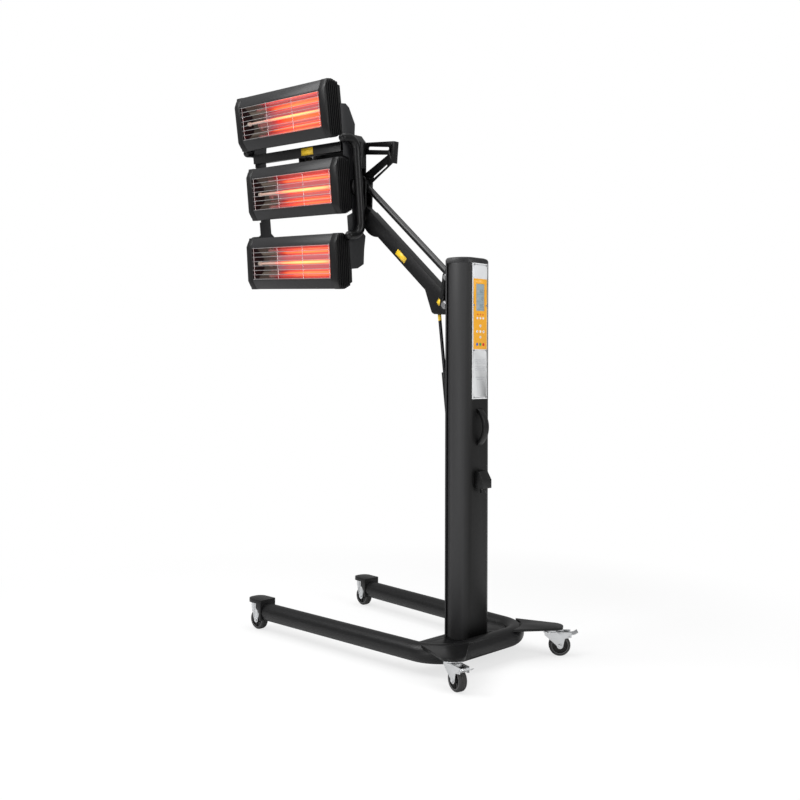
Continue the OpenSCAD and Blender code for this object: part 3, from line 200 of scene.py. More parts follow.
blackMoulding = finish("blackMoulding", (0.003, 0.003, 0.0033), 0.4, wear=0.06, edge=(0.02, 0.02, 0.02),
                       dust=0.0, spread=0.06, grain=1600.0, bump=0.06, shine=0.3)
gripMoulding = finish("gripMoulding", (0.003, 0.003, 0.0033), 0.34, wear=0.05, edge=(0.02, 0.02, 0.02),
                      dust=0.0, spread=0.05, grain=1900.0, bump=0.03, shine=0.3)
treadRubber = finish("treadRubber", (0.012, 0.012, 0.0125), 0.66, wear=0.15, edge=(0.05, 0.05, 0.05), dust=0.08,
                     grain=700.0, bump=0.2)
rimGrey = finish("rimGrey", (0.07, 0.07, 0.072), 0.45, wear=0.2, dust=0.05)
panelLacquer = finish("panelLacquer", (0.72, 0.73, 0.74), 0.3, wear=0.1, dust=0.03, spread=0.06, grain=1200.0,
                      bump=0.02, coat=0.3)
amberFilm = finish("amberFilm", (0.86, 0.4, 0.018), 0.33, wear=0.0, dust=0.02, spread=0.06, grain=2200.0,
                   bump=0.06)
displayGlass = finish("displayGlass", (0.3, 0.38, 0.41), 0.12, wear=0.0, dust=0.01, spread=0.02, bump=0.0,
                      coat=0.6)
inkDark = finish("inkDark", (0.03, 0.04, 0.05), 0.4, wear=0.0, dust=0.0, bump=0.0)
inkGrey = finish("inkGrey", (0.36, 0.37, 0.39), 0.4, wear=0.0, dust=0.0, bump=0.0)
keyWhite = finish("keyWhite", (0.78, 0.78, 0.76), 0.3, wear=0.0, dust=0.02, bump=0.02)
keyBlue = finish("keyBlue", (0.03, 0.12, 0.5), 0.3, wear=0.0, dust=0.02, bump=0.02)
keyGreen = finish("keyGreen", (0.03, 0.33, 0.07), 0.3, wear=0.0, dust=0.02, bump=0.02)
keyRed = finish("keyRed", (0.6, 0.02, 0.02), 0.3, wear=0.0, dust=0.02, bump=0.02)
boardGreen = finish("boardGreen", (0.02, 0.13, 0.05), 0.35, wear=0.0, grain=600.0)
housingCoat = finish("housingCoat", (0.013, 0.013, 0.014), 0.44, wear=0.12, edge=(0.06, 0.06, 0.065), dust=0.0,
                     spread=0.06, grain=1300.0, bump=0.05, shine=0.35)
plateCoat = finish("plateCoat", (0.017, 0.0175, 0.019), 0.42, wear=0.15, edge=(0.08, 0.08, 0.085), dust=0.0,
                   spread=0.06, grain=1200.0, bump=0.04, shine=0.35)
brightWire = finish("brightWire", (0.84, 0.84, 0.85), 0.16, metal=1.0, wear=0.0, dust=0.02, spread=0.05)
ceramicEnd = finish("ceramicEnd", (0.72, 0.66, 0.56), 0.6, wear=0.1, dust=0.1, grain=900.0, bump=0.08)
yellowLabel = finish("yellowLabel", (0.85, 0.55, 0.02), 0.35, wear=0.05, edge=(0.5, 0.4, 0.1), dust=0.03,
                     grain=1500.0, bump=0.02)
# The troughs are no lamps: their emission is painted glow with painted reflections of the lamps
troughMetalPaintedGlow = emissiveFinish("troughMetalPaintedGlow", (0.62, 0.27, 0.32), 0.14, 1.0, 1.2, 1.0, (1.0, 0.2, 0.9))
quartzGlow = emissiveFinish("quartzGlow", (0.5, 0.3, 0.25), 0.12, 0.0, 1.6, 0.01, (1.0, 0.75, 0.7))


# The column's back is darkened by face direction: partly the black rear cover against dark grey sides, partly
# painted shade on the faces turned to the rear
def darkenBackWithPaintedShade(material):
    tree = material.node_tree
    surface = tree.nodes["Principled BSDF"]
    normal = node(tree, "ShaderNodeNewGeometry").outputs["Normal"]
    rearward = node(tree, "ShaderNodeSeparateXYZ", {0: normal}).outputs[1]
    back = node(tree, "ShaderNodeMapRange", {"Value": rearward, "From Min": 0.7, "From Max": 0.93}).outputs[0]
    paint = surface.inputs["Base Color"].links[0].from_socket
    tree.links.new(mixColour(tree, back, paint, (0.0012, 0.0012, 0.0013, 1)), surface.inputs["Base Color"])


darkenBackWithPaintedShade(columnCoat)

looks = {
    rodPaint: ["guide_rod"],
    blackPaint: ["base_tube", "base_plate", "outrigger_left", "outrigger_right", "front_bracket_left",
                 "front_bracket_right", "arm_clevis",
                 "strut_bracket", "arm_tube", "strut_cylinder", "carrier", "tail_frame", "turning_knuckle",
                 "crossbar"],
    columnCoat: ["column"], capMoulding: ["column_cap"],
    zincPlate: ["front_fork_left", "front_fork_right", "caster_plate_left", "caster_plate_right",
                "rear_fork_left", "rear_fork_right",
                "brake_pedal_left", "brake_pedal_right"],
    steelPin: ["base_bolts", "clevis_pins", "strut_bolt", "panel_screws", "carrier_pins", "tilt_pin"],
    brightRod: ["strut_rod"],
    blackMoulding: ["grab_handle", "inlet_box", "inlet_gland", "cable_sleeve", "end_caps"],
    gripMoulding: ["handle_left", "handle_right"],
    treadRubber: ["front_wheel_left", "front_wheel_right", "rear_wheel_left", "rear_wheel_right"],
    panelLacquer: ["panel_plate"], amberFilm: ["panel_overlay"], displayGlass: ["panel_display"],
        keyWhite: ["panel_keys"],
    boardGreen: ["control_board"], housingCoat: ["housing_top", "housing_middle", "housing_bottom"],
    plateCoat: ["side_plate_left", "side_plate_right"], troughMetalPaintedGlow: ["reflectors"],
        quartzGlow: ["quartz_lamps"],
    brightWire: ["wire_guards"],
}
bevels = {"panel_keys": 0.15, "panel_screws": 0.3, "panel_overlay": 0.1, "panel_display": 0.1,
          "wire_guards": 0.0, "reflectors": 0.0,
          "quartz_lamps": 0.0, "control_board": 0.2, "base_tube": 0.0, "column_cap": 0.0, "panel_plate": 0.5,
          "tail_frame": 0.7}
for material, names in looks.items():
    for name in names:
        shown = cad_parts[name]
        shown.data.materials.clear()
        shown.data.materials.append(material)
        shown.data.polygons.foreach_set("use_smooth", [True] * len(shown.data.polygons))
        weld = shown.modifiers.new("weld", "WELD")
        weld.merge_threshold = 0.00002
        width = bevels.get(name, 0.8)
        if width:
            edge = shown.modifiers.new("bevel", "BEVEL")
            edge.width = width * mm
            edge.segments = 2
            edge.limit_method = "ANGLE"
            edge.angle_limit = math.radians(32)
            edge.use_clamp_overlap = True
            edge.harden_normals = True
        else:
            split = shown.modifiers.new("split", "EDGE_SPLIT")
            split.split_angle = math.radians(32)
print("finishes set")


# Mesh tools

def place(matrix, points):
    points = np.asarray(points, float)
    return points @ np.array(matrix)[:3, :3].T + np.array(matrix)[:3, 3]


def meshPiece(name, points, faces, material, body, smooth=35.0, attributes=None):
    mesh = bpy.data.meshes.new(name)
    mesh.from_pydata((np.asarray(points, float) + origin).tolist(), [],
                     [list(map(int, face)) for face in faces])
    mesh.update()
    mesh.polygons.foreach_set("use_smooth", [True] * len(mesh.polygons))
    mesh.materials.append(material)
    for key, values in (attributes or {}).items():
        mesh.attributes.new(key, "FLOAT", "POINT").data.foreach_set("value", np.asarray(values, np.float32))
    piece = bpy.data.objects.new(name, mesh)
    scene.collection.objects.link(piece)
    if smooth:
        split = piece.modifiers.new("split", "EDGE_SPLIT")
        split.split_angle = math.radians(smooth)
    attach(piece, body)
    return piece


# Gathers several shells into one mesh: shells are (points, faces) in millimetres, each with its own matrix
class Shells:
    def __init__(self):
        self.points, self.faces, self.count = [], [], 0

    def add(self, matrix, points, faces):
        placed = place(matrix, np.asarray(points, float) * mm)
        self.points.append(placed)
        self.faces += [[index + self.count for index in face] for face in faces]
        self.count += len(placed)

    def piece(self, name, material, body, **more):
        return meshPiece(name, np.concatenate(self.points), self.faces, material, body, **more)


def boxShell(size, centre=(0, 0, 0), chamfer=0.0):
    half = np.array(size, float) / 2
    c = min(chamfer, min(half) * 0.9)
    rings = []
    for z, inset in ((-half[2], c), (-half[2] + c, 0), (half[2] - c, 0), (half[2], c)) if c else ((-half[2], 0),
            (half[2], 0)):
        x, y = half[0] - inset, half[1] - inset
        k = c
        ring = [(x - k, y), (x, y - k), (x, -y + k), (x - k, -y), (-x + k, -y), (-x, -y + k), (-x, y - k),
                (-x + k, y)] if c else [
            (x, y), (x, -y), (-x, -y), (-x, y)]
        rings.append([(p[0], p[1], z) for p in ring])
    return loftShell(rings, centre)


def loftShell(rings, centre=(0, 0, 0), capped=True):
    n = len(rings[0])
    points = np.array([p for ring in rings for p in ring], float) + np.array(centre, float)
    faces = [[r * n + i, r * n + (i + 1) % n, (r + 1) * n + (i + 1) % n,
              (r + 1) * n + i] for r in range(len(rings) - 1) for i in range(n)]
    if capped:
        faces += [list(range(n))[::-1], [(len(rings) - 1) * n + i for i in range(n)]]
    return points, faces


# Turned shape: profile is (radius, height) along +Z
def lathe(profile, sides=48, capped=True):
    angles = np.arange(sides) * 2 * math.pi / sides
    rings = [[(r * math.cos(a), r * math.sin(a), z) for a in angles] for r, z in profile]
    return loftShell(rings, capped=capped)


# A round wire along points, with frames carried on from one point to the next
def wireShell(path, radius, sides=12, closed=False):
    path = np.asarray(path, float)
    step = np.roll(path, -1, 0) - np.roll(path, 1, 0) if closed else np.gradient(path, axis=0)
    step /= np.linalg.norm(step, axis=1)[:, None]
    side = np.cross(step[0], (0.3, 0.1, 0.95))
    rings = []
    for point, way in zip(path, step):
        side = side - way * (side @ way)
        side /= np.linalg.norm(side)
        other = np.cross(way, side)
        angles = np.arange(sides) * 2 * math.pi / sides
        rings.append([point + radius * (math.cos(a) * side + math.sin(a) * other) for a in angles])
    if closed:
        rings.append(rings[0])
    return loftShell(rings, capped=not closed)


def shift(x, y, z):
    return Matrix.Translation((x * mm, y * mm, z * mm))


def turn(angle, axis):
    return Matrix.Rotation(math.radians(angle), 4, axis)


def facing(point, normal):
    return Matrix.Translation(Vector(point) * mm) @ Vector(normal).to_track_quat("Z", "Y").to_matrix().to_4x4()


# The frames of part.scad: head runs n forward, a along the cassettes, b up
lean = 3
hub = (0, -785, 1839)
head = shift(*hub) @ turn(-lean, "X") @ turn(0.9, "Z") @ shift(61, 0, 0) @ turn(7.9, "Y") @ shift(112, 0, -128)
rise = math.radians(40.5)
armLow = (0, -80, 1224)
armHigh = (0, -80 - 598.6 * math.cos(rise), 1224 + 598.6 * math.sin(rise))
linkStep = (97 * math.sin(math.radians(lean)), 97 * math.cos(math.radians(lean)))


def cassette(k):
    return head @ shift(abs(k) * 28, 0, k * 279.5) @ turn(k * 2, "Y")


# Lamp tubes: a glowing quartz tube with a ceramic end on each side
lampSizes = {"radius": 5, "n": -34, "half": 243, "endLength": 14, "endRadius": 8}


def makeLamps():
    tubes, faces, along, ends = [], [], [], Shells()
    steps = 61
    angles = np.arange(24) * 2 * math.pi / 24
    count = 0
    for k in (-1, 0, 1):
        reach = lampSizes["half"] - lampSizes["endLength"]
        spots = np.linspace(-reach, reach, steps)
        rings = [[(lampSizes["n"] + lampSizes["radius"] * math.cos(a), y,
                   lampSizes["radius"] * math.sin(a)) for a in angles] for y in spots]
        points, shell = loftShell(rings)
        tubes.append(place(cassette(k), points * mm))
        faces += [[i + count for i in face] for face in shell]
        # Seen from the front the left end is at -a, as the head faces +X
        along.append(np.repeat((spots + reach) / (2 * reach), 24))
        count += len(points)
        for s in (-1, 1):
            profile = [(lampSizes["endRadius"] - 1, 0), (lampSizes["endRadius"], 1),
                       (lampSizes["endRadius"], 5), (6.4, 5.5),
                       (6.4, 7.5), (lampSizes["endRadius"], 8), (lampSizes["endRadius"], 13),
                       (lampSizes["endRadius"] - 1, lampSizes["endLength"])]
            ends.add(cassette(k) @ shift(lampSizes["n"], s * reach, 0) @ turn(-90 * s, "X"),
                     *lathe(profile, 32))
    along = np.concatenate(along)
    glow = meshPiece("lampTubes", np.concatenate(tubes), faces, quartzGlow, "head",
                     attributes={"along": along, "across": along * 0})
    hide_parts("quartz_lamps")
    ends.piece("lampEnds", ceramicEnd, "head")


makeLamps()

# Reflector troughs: a rolled section with fine flutes along the lamp
# The last values place and weight the painted lamp reflections and the painted glow of the troughs
troughSizes = {
    "section": [(-8, 64.3), (-26, 64.3), (-40, 49), (-52, 38), (-58, 32), (-61, 16), (-62, 0)], "edge": 64.3,
    "half": 242.8,
    "skin": 1.0, "line": 40, "paintedReflectionHalf": 5, "paintedGlowDim": 0.68, "lit": 0.6, "rings": 41, "flutes": 4}


def makeTroughs():
    outline = np.array(troughSizes["section"], float)
    fine = []
    for a, b in zip(outline[:-1], outline[1:]):
        fine += [a + (b - a) * t / troughSizes["flutes"] for t in range(troughSizes["flutes"])]
    fine = np.array(fine + [outline[-1]])
    section = np.concatenate([fine, fine[::-1][1:] * (1, -1)])
    inner = section + (troughSizes["skin"], 0)
    inner[:, 1] *= (troughSizes["edge"] - troughSizes["skin"]) / troughSizes["edge"]
    ring = np.concatenate([section, inner[::-1]])
    spots = np.linspace(-troughSizes["half"], troughSizes["half"], troughSizes["rings"])
    shells, along, across = Shells(), [], []
    for k in (-1, 0, 1):
        points, faces = loftShell([[(n, y, b) for n, b in ring] for y in spots])
        shells.add(cassette(k), points, faces)
        along.append(np.repeat((spots - spots[0]) / (spots[-1] - spots[0]), len(ring)))
        # The lamp's reflection is painted as two bright glowing lines in the trough's folds, over a dim painted
        # glow
        paintedReflectionLines = np.exp(-((np.abs(ring[:, 1]) - troughSizes["line"]) / troughSizes["paintedReflectionHalf"]) ** 2)
        across.append(np.tile(troughSizes["paintedGlowDim"] - troughSizes["lit"] * paintedReflectionLines, len(spots)))
    trough = shells.piece("reflectorTroughs", troughMetalPaintedGlow, "head", smooth=40,
                          attributes={"along": np.concatenate(along), "across": np.concatenate(across)})
    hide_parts("reflectors")


makeTroughs()

# Louvres on the back of each housing, ribs down each end cap, and a bead round each window
louvreSizes = {"count": 11, "pitch": 38, "length": 26, "rows": (-44, 0, 44), "flat": -84.2, "ends": 0.05,
               "bow": [(-84, -5), (-86.6, -3.6), (-88, 0), (-84, 1.5)],
               "steps": (0, 0.12, 0.25, 0.5, 0.75, 0.88, 1)}
ribSizes = {"outer": 276, "first": -57.5, "pitch": 9.3, "count": 6, "foot": 4.4, "crest": 2.8,
            "outline": ((-84, -36, -14, 3), (79, 99, 99, 64)), "rise": ((0, 0.4), (2, 2.4), (5, 3))}
beadSizes = {"half": 243, "high": 66.4, "corner": 3, "inset": 1, "n": 2.6, "radius": 1.3}


def makeHousingTrim():
    louvres, ribs, beads = Shells(), Shells(), Shells()
    for k in (-1, 0, 1):
        for b in louvreSizes["rows"]:
            for i in range(louvreSizes["count"]):
                a = (i - (louvreSizes["count"] - 1) / 2) * louvreSizes["pitch"]
                rings = [[(n if louvreSizes["ends"] < t < 1 - louvreSizes["ends"] else louvreSizes["flat"],
                           a + (t - 0.5) * louvreSizes["length"], b + z) for n, z in louvreSizes["bow"]]
                         for t in louvreSizes["steps"]]
                louvres.add(cassette(k), *loftShell(rings))
        for s in (-1, 1):
            for i in range(ribSizes["count"]):
                n = ribSizes["first"] + i * ribSizes["pitch"]
                top = np.interp(n, *ribSizes["outline"])
                foot, crest = ribSizes["foot"] / 2, ribSizes["crest"] / 2
                levels = [(-top + inset, out) for inset, out in ribSizes["rise"]]
                levels += [(-b, out) for b, out in levels[::-1]]
                rings = [[(n + side, s * (ribSizes["outer"] + y), b)
                          for side, y in ((-foot, 0), (foot, 0), (crest, out), (-crest, out))][::s] for b,
                                  out in levels]
                ribs.add(cassette(k), *loftShell(rings))
        w, h, c, d = beadSizes["half"], beadSizes["high"], beadSizes["corner"], beadSizes["inset"]
        loop = [(-w + c, -h), (w - c, -h), (w - d, -h + d), (w - d, h - d),
                (w - c, h), (-w + c, h), (-w + d, h - d), (-w + d, -h + d)]
        beads.add(cassette(k), *wireShell([(beadSizes["n"], a, b) for a, b in loop], beadSizes["radius"], 8,
                                          True))
    louvres.piece("housingLouvres", housingCoat, "head")
    ribs.piece("capRibs", blackMoulding, "head")
    beads.piece("windowBeads", housingCoat, "head")


makeHousingTrim()
print("cassettes made")


# Wheels: a grooved tyre on a dished disc with spokes
wheelSizes = {"radius": 37.5, "half": 14, "spokes": 6, "grooves": (-6.4, 0, 6.4)}
splay = 3.15
wheels = {
    "front_wheel_left": shift(227, 0, 0) @ turn(splay, "Z") @ shift(0, -826, 37.5),
    "front_wheel_right": shift(-227, 0, 0) @ turn(-splay, "Z") @ shift(0, -826, 37.5),
    "rear_wheel_left": shift(256, 165, 0) @ turn(75, "Z") @ shift(29, 0, 37.5) @ turn(-90, "Z"),
    "rear_wheel_right": shift(-256, 165, 0) @ turn(133, "Z") @ shift(29, 0, 37.5) @ turn(-90, "Z"),
}


def makeWheels():
    r, half = wheelSizes["radius"], wheelSizes["half"]
    tread = [(27.6, -half + 1), (28.6, -half), (33.6, -half), (36.2, -half + 3), (37.2, -half + 5),
             (r, -half + 6.4)]
    for g in wheelSizes["grooves"]:
        tread += [(r, g - 0.9), (r - 0.9, g - 0.5), (r - 0.9, g + 0.5), (r, g + 0.9)]
    tread += [(a, -z) for a, z in reversed(tread[:6])]
    tread.append(tread[0])
    disc = [(4.2, -15), (9.6, -15), (10.2, -14.4), (12, -9.4), (25.6, -9.4), (27.4, -13.4), (27.6, -13.8)]
    disc += [(a, -z) for a, z in reversed(disc)]
    disc.append(disc[0])
    for name, matrix in wheels.items():
        tyre, body, line = Shells(), Shells(), Shells()
        axle = matrix @ turn(90, "Y")
        tyre.add(axle, *lathe(tread, 80, capped=False))
        body.add(axle, *lathe(disc, 64, capped=False))
        for s in (-1, 1):
            out = matrix @ turn(90 * s, "Y")
            line.add(out, *lathe([(27.0, 13.2), (27.4, 14.05), (28.5, 14.25), (29.4, 14.05), (29.6, 13.4)], 64,
                                 capped=False))
            for i in range(wheelSizes["spokes"]):
                body.add(out @ turn(i * 360 / wheelSizes["spokes"], "Z"),
                         *boxShell((17, 3.4, 3.6), (18.6, 0, 10.6), 0.7))
        shown = tyre.piece(name + "_tyre", treadRubber, name)
        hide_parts(name)
        body.piece(name + "_disc", blackMoulding, name)
        line.piece(name + "_line", rimGrey, name)


makeWheels()


# Hexagon heads and washers on the pivots
def hexShell(radius, height):
    ring = [(radius * math.cos(i * math.pi / 3), radius * math.sin(i * math.pi / 3)) for i in range(6)]
    inner = [(x * 0.88, y * 0.88) for x, y in ring]
    return loftShell([[(x, y, 0) for x, y in ring], [(x, y, height * 0.8) for x, y in ring],
                      [(x, y, height) for x, y in inner]])


pivotSizes = {"washer": 1.6, "head": 7, "clevisOut": 31.4, "carrierOut": 23, "over": 3, "skew": 17}


def makePivotHeads():
    for body, out, spots in (("stand", pivotSizes["clevisOut"],
                              ((armLow, 12), ((0, armLow[1] + linkStep[0], armLow[2] + linkStep[1]), 9))),
                             ("carrier", pivotSizes["carrierOut"],
                              ((armHigh, 12), ((0, armHigh[1] + linkStep[0], armHigh[2] + linkStep[1]), 9)))):
        heads = Shells()
        for point, radius in spots:
            for s in (-1, 1):
                heads.add(facing((s * out, point[1], point[2]), (s, 0, 0)), *lathe([
                    (radius + pivotSizes["over"], 0), (radius + pivotSizes["over"], pivotSizes["washer"]),
                    (radius, pivotSizes["washer"])], 40))
                heads.add(facing((s * (out + pivotSizes["washer"]), point[1], point[2]),
                                 (s, 0, 0)) @ turn(pivotSizes["skew"] * s, "Z"),
                          *hexShell(radius, pivotSizes["head"]))
        heads.piece(body + "Heads", steelPin, body)


makePivotHeads()
print("wheels and pivots made")


# Panel: display digits, lamps, keys and printed shapes, measured from the panel's lower edge
panelSizes = {"face": 55.8, "plate": 55.0, "low": 900, "pitch": 19, "ink": 0.02, "figures": (366, 341, 316),
              "digit": 8.6,
              "digitFrom": 3.5, "bar": 4.2, "barThick": 1.0, "mark": 20, "markRow": 24, "markHalf": 6.5,
              "markTop": 128, "line": 0.7}


def panelAt(x, z, out=0.0, level="face"):
    # x runs to the operator's right, which is -X, y up and z out of the panel
    return shift(-x, panelSizes[level] + out,
                 panelSizes["low"] + z) @ Matrix(((-1, 0, 0, 0), (0, 0, 1, 0), (0, 1, 0, 0), (0, 0, 0, 1)))


def keyShell(radius, height):
    return lathe([(radius, 0), (radius, height * 0.6), (radius * 0.86, height), (radius * 0.5, height * 0.9)],
                 32)


def makePanel():
    leds, whites, ink, grey, arrows = Shells(), Shells(), Shells(), Shells(), Shells()
    coloured = {"keyBlueCap": (Shells(), keyBlue), "keyGreenCap": (Shells(), keyGreen),
                "keyRedCap": (Shells(), keyRed)}
    rows = {"led": 286.5, "round": 274.5, "cross": 228.9, "last": 185.2}
    for i in (-1, 0, 1):
        x = i * panelSizes["pitch"]
        leds.add(panelAt(x * 0.7, rows["led"]), *keyShell(2.3, 1.3))
        whites.add(panelAt(x * 0.8, rows["round"]), *keyShell(4.2, 0.8))
        arrows.add(panelAt(x * 0.85, rows["cross"]), *keyShell(4.6, 0.7))
    for i in (-1, 1):
        arrows.add(panelAt(0, rows["cross"] + i * panelSizes["pitch"]), *keyShell(4.6, 0.7))
    for i, name in zip((-1, 0, 1), coloured):
        coloured[name][0].add(panelAt(i * panelSizes["pitch"] * 0.85, rows["last"]), *keyShell(5.2, 0.8))
    # Arrow heads on the cross of keys
    for x, z, a in ((0, 19, 0), (0, -19, 180), (-16, 0, 90), (16, 0, -90)):
        tri = [(2.4 * math.sin(math.radians(t)), 2.4 * math.cos(math.radians(t))) for t in (0, 120, 240)]
        ink.add(panelAt(x, rows["cross"] + z, 0.68) @ turn(a, "Z"),
                *loftShell([[(p, q, 0) for p, q in tri], [(p, q, 0.1) for p, q in tri]]))
    # Seven-segment figures on the display: which bars are lit for each figure
    lit = {"0": "abcdef", "1": "bc", "2": "abged", "5": "afgcd", "6": "afgedc", "8": "abcdefg"}
    bars = {"a": (0, 5.4, 1), "g": (0, 0, 1), "d": (0, -5.4, 1), "f": (-2.8, 2.7, 0), "b": (2.8, 2.7, 0),
            "e": (-2.8, -2.7, 0), "c": (2.8, -2.7, 0)}
    for row, text in zip(panelSizes["figures"], ("60", "12", "05")):
        for i, figure in enumerate(text):
            for bar in lit[figure]:
                x, z, level = bars[bar]
                size = (panelSizes["bar"], panelSizes["barThick"]) if level else (panelSizes["barThick"],
                    panelSizes["bar"])
                at = panelAt(panelSizes["digitFrom"] + i * panelSizes["digit"] + x, row + z, panelSizes["ink"],
                             "plate")
                ink.add(at, *boxShell((*size, 0.1)))
        grey.add(panelAt(-11, row, panelSizes["ink"], "plate"), *boxShell((9, 7, 0.08)))
        ink.add(panelAt(0, row - 11, panelSizes["ink"], "plate"), *boxShell((36, 0.5, 0.08)))
    # Plain outlines where the plate carries pictograms, and two bare lines
    for i in range(3):
        for j in range(2):
            x, z = panelSizes["mark"] * (i - 1), panelSizes["markTop"] - panelSizes["markRow"] * j
            m, t = panelSizes["markHalf"], panelSizes["line"]
            for dx, dz, w, h in ((0, m, 2 * m, t), (0, -m, 2 * m, t), (-m, 0, t, 2 * m), (m, 0, t, 2 * m)):
                grey.add(panelAt(x + dx, z + dz, panelSizes["ink"], "plate"), *boxShell((w, h, 0.1)))
            grey.add(panelAt(x, z, panelSizes["ink"], "plate") @ turn(45 * i + 20 * j, "Z"),
                     *boxShell((7, 1.6, 0.1)))
    for z, w in ((74, 46), (67, 34)):
        grey.add(panelAt(0, z, panelSizes["ink"], "plate"), *boxShell((w, 2, 0.1)))
    keys = arrows.piece("arrowKeys", keyWhite, "stand")
    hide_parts("panel_keys")
    whites.piece("roundKeys", keyWhite, "stand")
    leds.piece("indicatorLamps", keyRed, "stand")
    for name, (shells, material) in coloured.items():
        shells.piece(name, material, "stand")
    ink.piece("panelFigures", inkDark, "stand")
    grey.piece("panelMarks", inkGrey, "stand")


makePanel()
print("panel made")


# Plain yellow labels without lettering, each with a thin dark edge line
def label(name, matrix, size, body, diamond=False):
    w, h = size
    outer = [(0, h / 2), (w / 2, 0), (0, -h / 2), (-w / 2, 0)] if diamond else [(w / 2, h / 2), (w / 2, -h / 2),
        (-w / 2, -h / 2), (-w / 2, h / 2)]
    plate, line = Shells(), Shells()
    plate.add(matrix, *loftShell([[(x, y, 0) for x, y in outer], [(x, y, 0.25) for x, y in outer]]))
    inner = [(x * 0.84, y * 0.84) for x, y in outer]
    line.add(matrix, *wireShell([(x, y, 0.22) for x, y in inner], 0.35, 6, True))
    plate.piece(name, yellowLabel, body, smooth=0)
    line.piece(name + "_line", inkDark, body)


armSide = shift(19.05, -310, 1413) @ Matrix(
    ((0, 0, 1, 0), (math.cos(rise), math.sin(rise), 0, 0), (-math.sin(rise), math.cos(rise), 0, 0),
     (0, 0, 0, 1)))
label("armLabel", armSide, (60, 22), "arm")
barFace = head @ shift(-34.95, 75, 143) @ Matrix(((0, 0, 1, 0), (1, 0, 0, 0), (0, 1, 0, 0), (0, 0, 0, 1)))
label("crossbarLabel", barFace, (70, 28), "head")
diamondAt = shift(19.05, -119, 1236) @ Matrix(((0, 0, 1, 0), (1, 0, 0, 0), (0, 1, 0, 0), (0, 0, 0, 1)))
label("diamondLabel", diamondAt, (25, 27), "arm", diamond=True)
# A sticker wrapped round the strut's rod, under its upper eye
stickerSizes = {"radius": 6.25, "bore": 6.02, "from": 506, "length": 20, "edge": 0.2}
strutAxis = Vector((0, -0.124487, 0.992220))
sticker = Shells()
stickerAt = facing(Vector((0, -69, 670)) + strutAxis * stickerSizes["from"], strutAxis)
stickerEnd = stickerSizes["length"] - stickerSizes["edge"]
sticker.add(stickerAt, *lathe([
    (stickerSizes["bore"], 0), (stickerSizes["radius"], stickerSizes["edge"]),
    (stickerSizes["radius"], stickerEnd),
    (stickerSizes["bore"], stickerSizes["length"])], 40))
sticker.piece("strutSticker", yellowLabel, "strut_rod")
print("labels made")


# Stage, light and camera
stageSizes = {"half": 30, "near": 1.1, "far": 2.0, "nearWhite": 0.7, "ambient": 0.42}


def makeStage():
    half = stageSizes["half"]
    floor = bpy.data.objects.new("floor", bpy.data.meshes.new("floor"))
    floor.data.from_pydata([(-half, -half, 0), (half, -half, 0), (half, half, 0), (-half, half, 0)], [],
                           [(0, 1, 2, 3)])
    scene.collection.objects.link(floor)
    material = bpy.data.materials.new("paleFloor")
    material.use_nodes = True
    tree = material.node_tree
    surface = tree.nodes["Principled BSDF"]
    surface.inputs["Base Color"].default_value = (0.86, 0.86, 0.86, 1)
    surface.inputs["Roughness"].default_value = 0.8
    white = node(tree, "ShaderNodeEmission", {"Color": (1, 1, 1, 1), "Strength": 1.0})
    seen = node(tree, "ShaderNodeLightPath").outputs["Is Camera Ray"]
    # The floor turns fully white away from the lamp, so no horizon shows
    where = node(tree, "ShaderNodeTexCoord").outputs["Object"]
    away = node(tree, "ShaderNodeVectorMath", {0: where}, operation="LENGTH").outputs["Value"]
    whiteness = node(tree, "ShaderNodeMapRange", {
        "Value": away, "From Min": stageSizes["near"], "From Max": stageSizes["far"],
        "To Min": stageSizes["nearWhite"],
        "To Max": 1.0}, interpolation_type="SMOOTHSTEP").outputs[0]
    share = mathNode(tree, "MULTIPLY", seen, whiteness)
    mixed = node(tree, "ShaderNodeMixShader", {0: share, 1: surface.outputs[0], 2: white.outputs[0]})
    tree.links.new(mixed.outputs[0], tree.nodes["Material Output"].inputs["Surface"])
    floor.data.materials.append(material)
    world = bpy.data.worlds.new("studio")
    scene.world = world
    world.use_nodes = True
    tree = world.node_tree
    back = tree.nodes["Background"]
    seen = node(tree, "ShaderNodeLightPath").outputs["Is Camera Ray"]
    strength = node(tree, "ShaderNodeMapRange",
                    {"Value": seen, "To Min": stageSizes["ambient"], "To Max": 1.0}).outputs[0]
    back.inputs["Color"].default_value = (1, 1, 1, 1)
    tree.links.new(strength, back.inputs["Strength"])


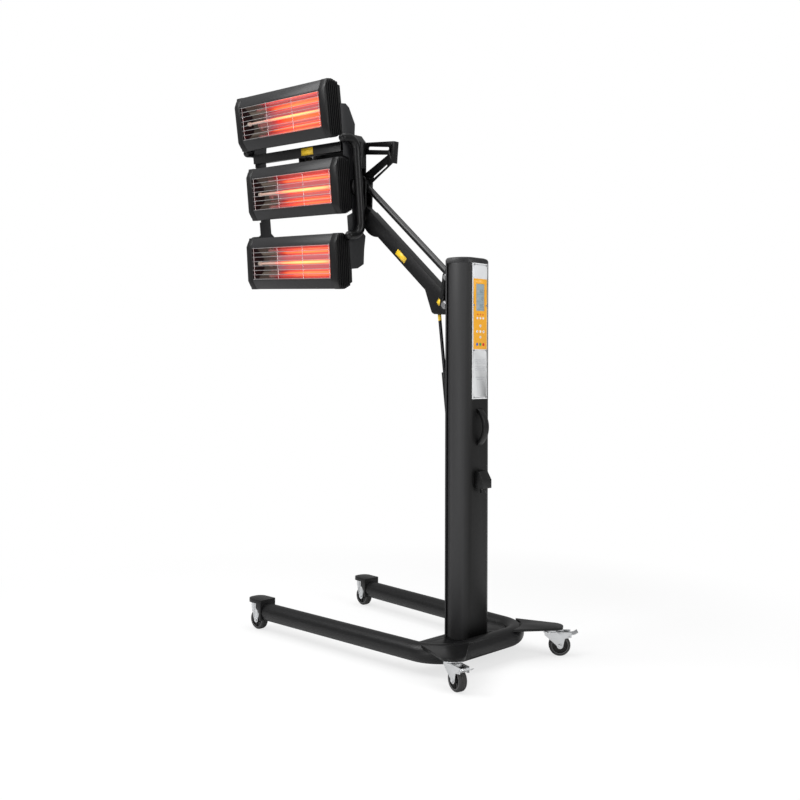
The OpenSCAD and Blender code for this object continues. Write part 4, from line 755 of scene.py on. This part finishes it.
def areaLight(name, position, target, size, power, colour=(1, 1, 1)):
    lamp = bpy.data.lights.new(name, "AREA")
    lamp.shape = "RECTANGLE"
    lamp.size, lamp.size_y = size
    lamp.energy = power
    lamp.color = colour
    thing = bpy.data.objects.new(name, lamp)
    scene.collection.objects.link(thing)
    thing.location = Vector(position) + Vector(origin)
    thing.rotation_euler = (Vector(target) - Vector(position)).to_track_quat("-Z", "Y").to_euler()


makeStage()
areaLight("keyLight", (2.6, -1.6, 3.9), (0, -0.3, 1.0), (2.2, 2.2), 120)
areaLight("sideLight", (-0.4, 3.6, 2.4), (0, 0, 0.9), (1.4, 2.6), 55)
areaLight("topLight", (0.2, -0.4, 4.6), (0, -0.4, 0), (3.0, 3.0), 90)
areaLight("lowLight", (3.4, 0.8, 0.9), (0, -0.2, 0.7), (0.8, 1.8), 22)

cameraSizes = {"focal": 969.19, "principalY": 366.73, "yaw": 45.508, "roll": 0.14,
               "at": (2.50355, 2.21502, 1.00879),
               "picture": 800, "sensor": 36, "near": 0.05}
yaw, roll = math.radians(cameraSizes["yaw"]), math.radians(cameraSizes["roll"])
right = Vector((-math.sin(yaw), math.cos(yaw), 0))
up = Vector((0, 0, 1))
back = Vector((math.cos(yaw), math.sin(yaw), 0))
across = math.cos(roll) * right + math.sin(roll) * up
above = -math.sin(roll) * right + math.cos(roll) * up
camera = bpy.data.objects.new("camera", bpy.data.cameras.new("camera"))
scene.collection.objects.link(camera)
at = Vector(cameraSizes["at"]) + Vector(origin)
camera.matrix_world = Matrix((
    (across.x, above.x, back.x, at.x), (across.y, above.y, back.y, at.y), (across.z, above.z, back.z, at.z),
    (0, 0, 0, 1)))
camera.data.sensor_width = cameraSizes["sensor"]
camera.data.lens = cameraSizes["focal"] / cameraSizes["picture"] * cameraSizes["sensor"]
camera.data.shift_y = (cameraSizes["principalY"] - cameraSizes["picture"] / 2) / cameraSizes["picture"]
camera.data.clip_start = cameraSizes["near"]
scene.camera = camera
scene.view_settings.view_transform = "Standard"
print("stage set")
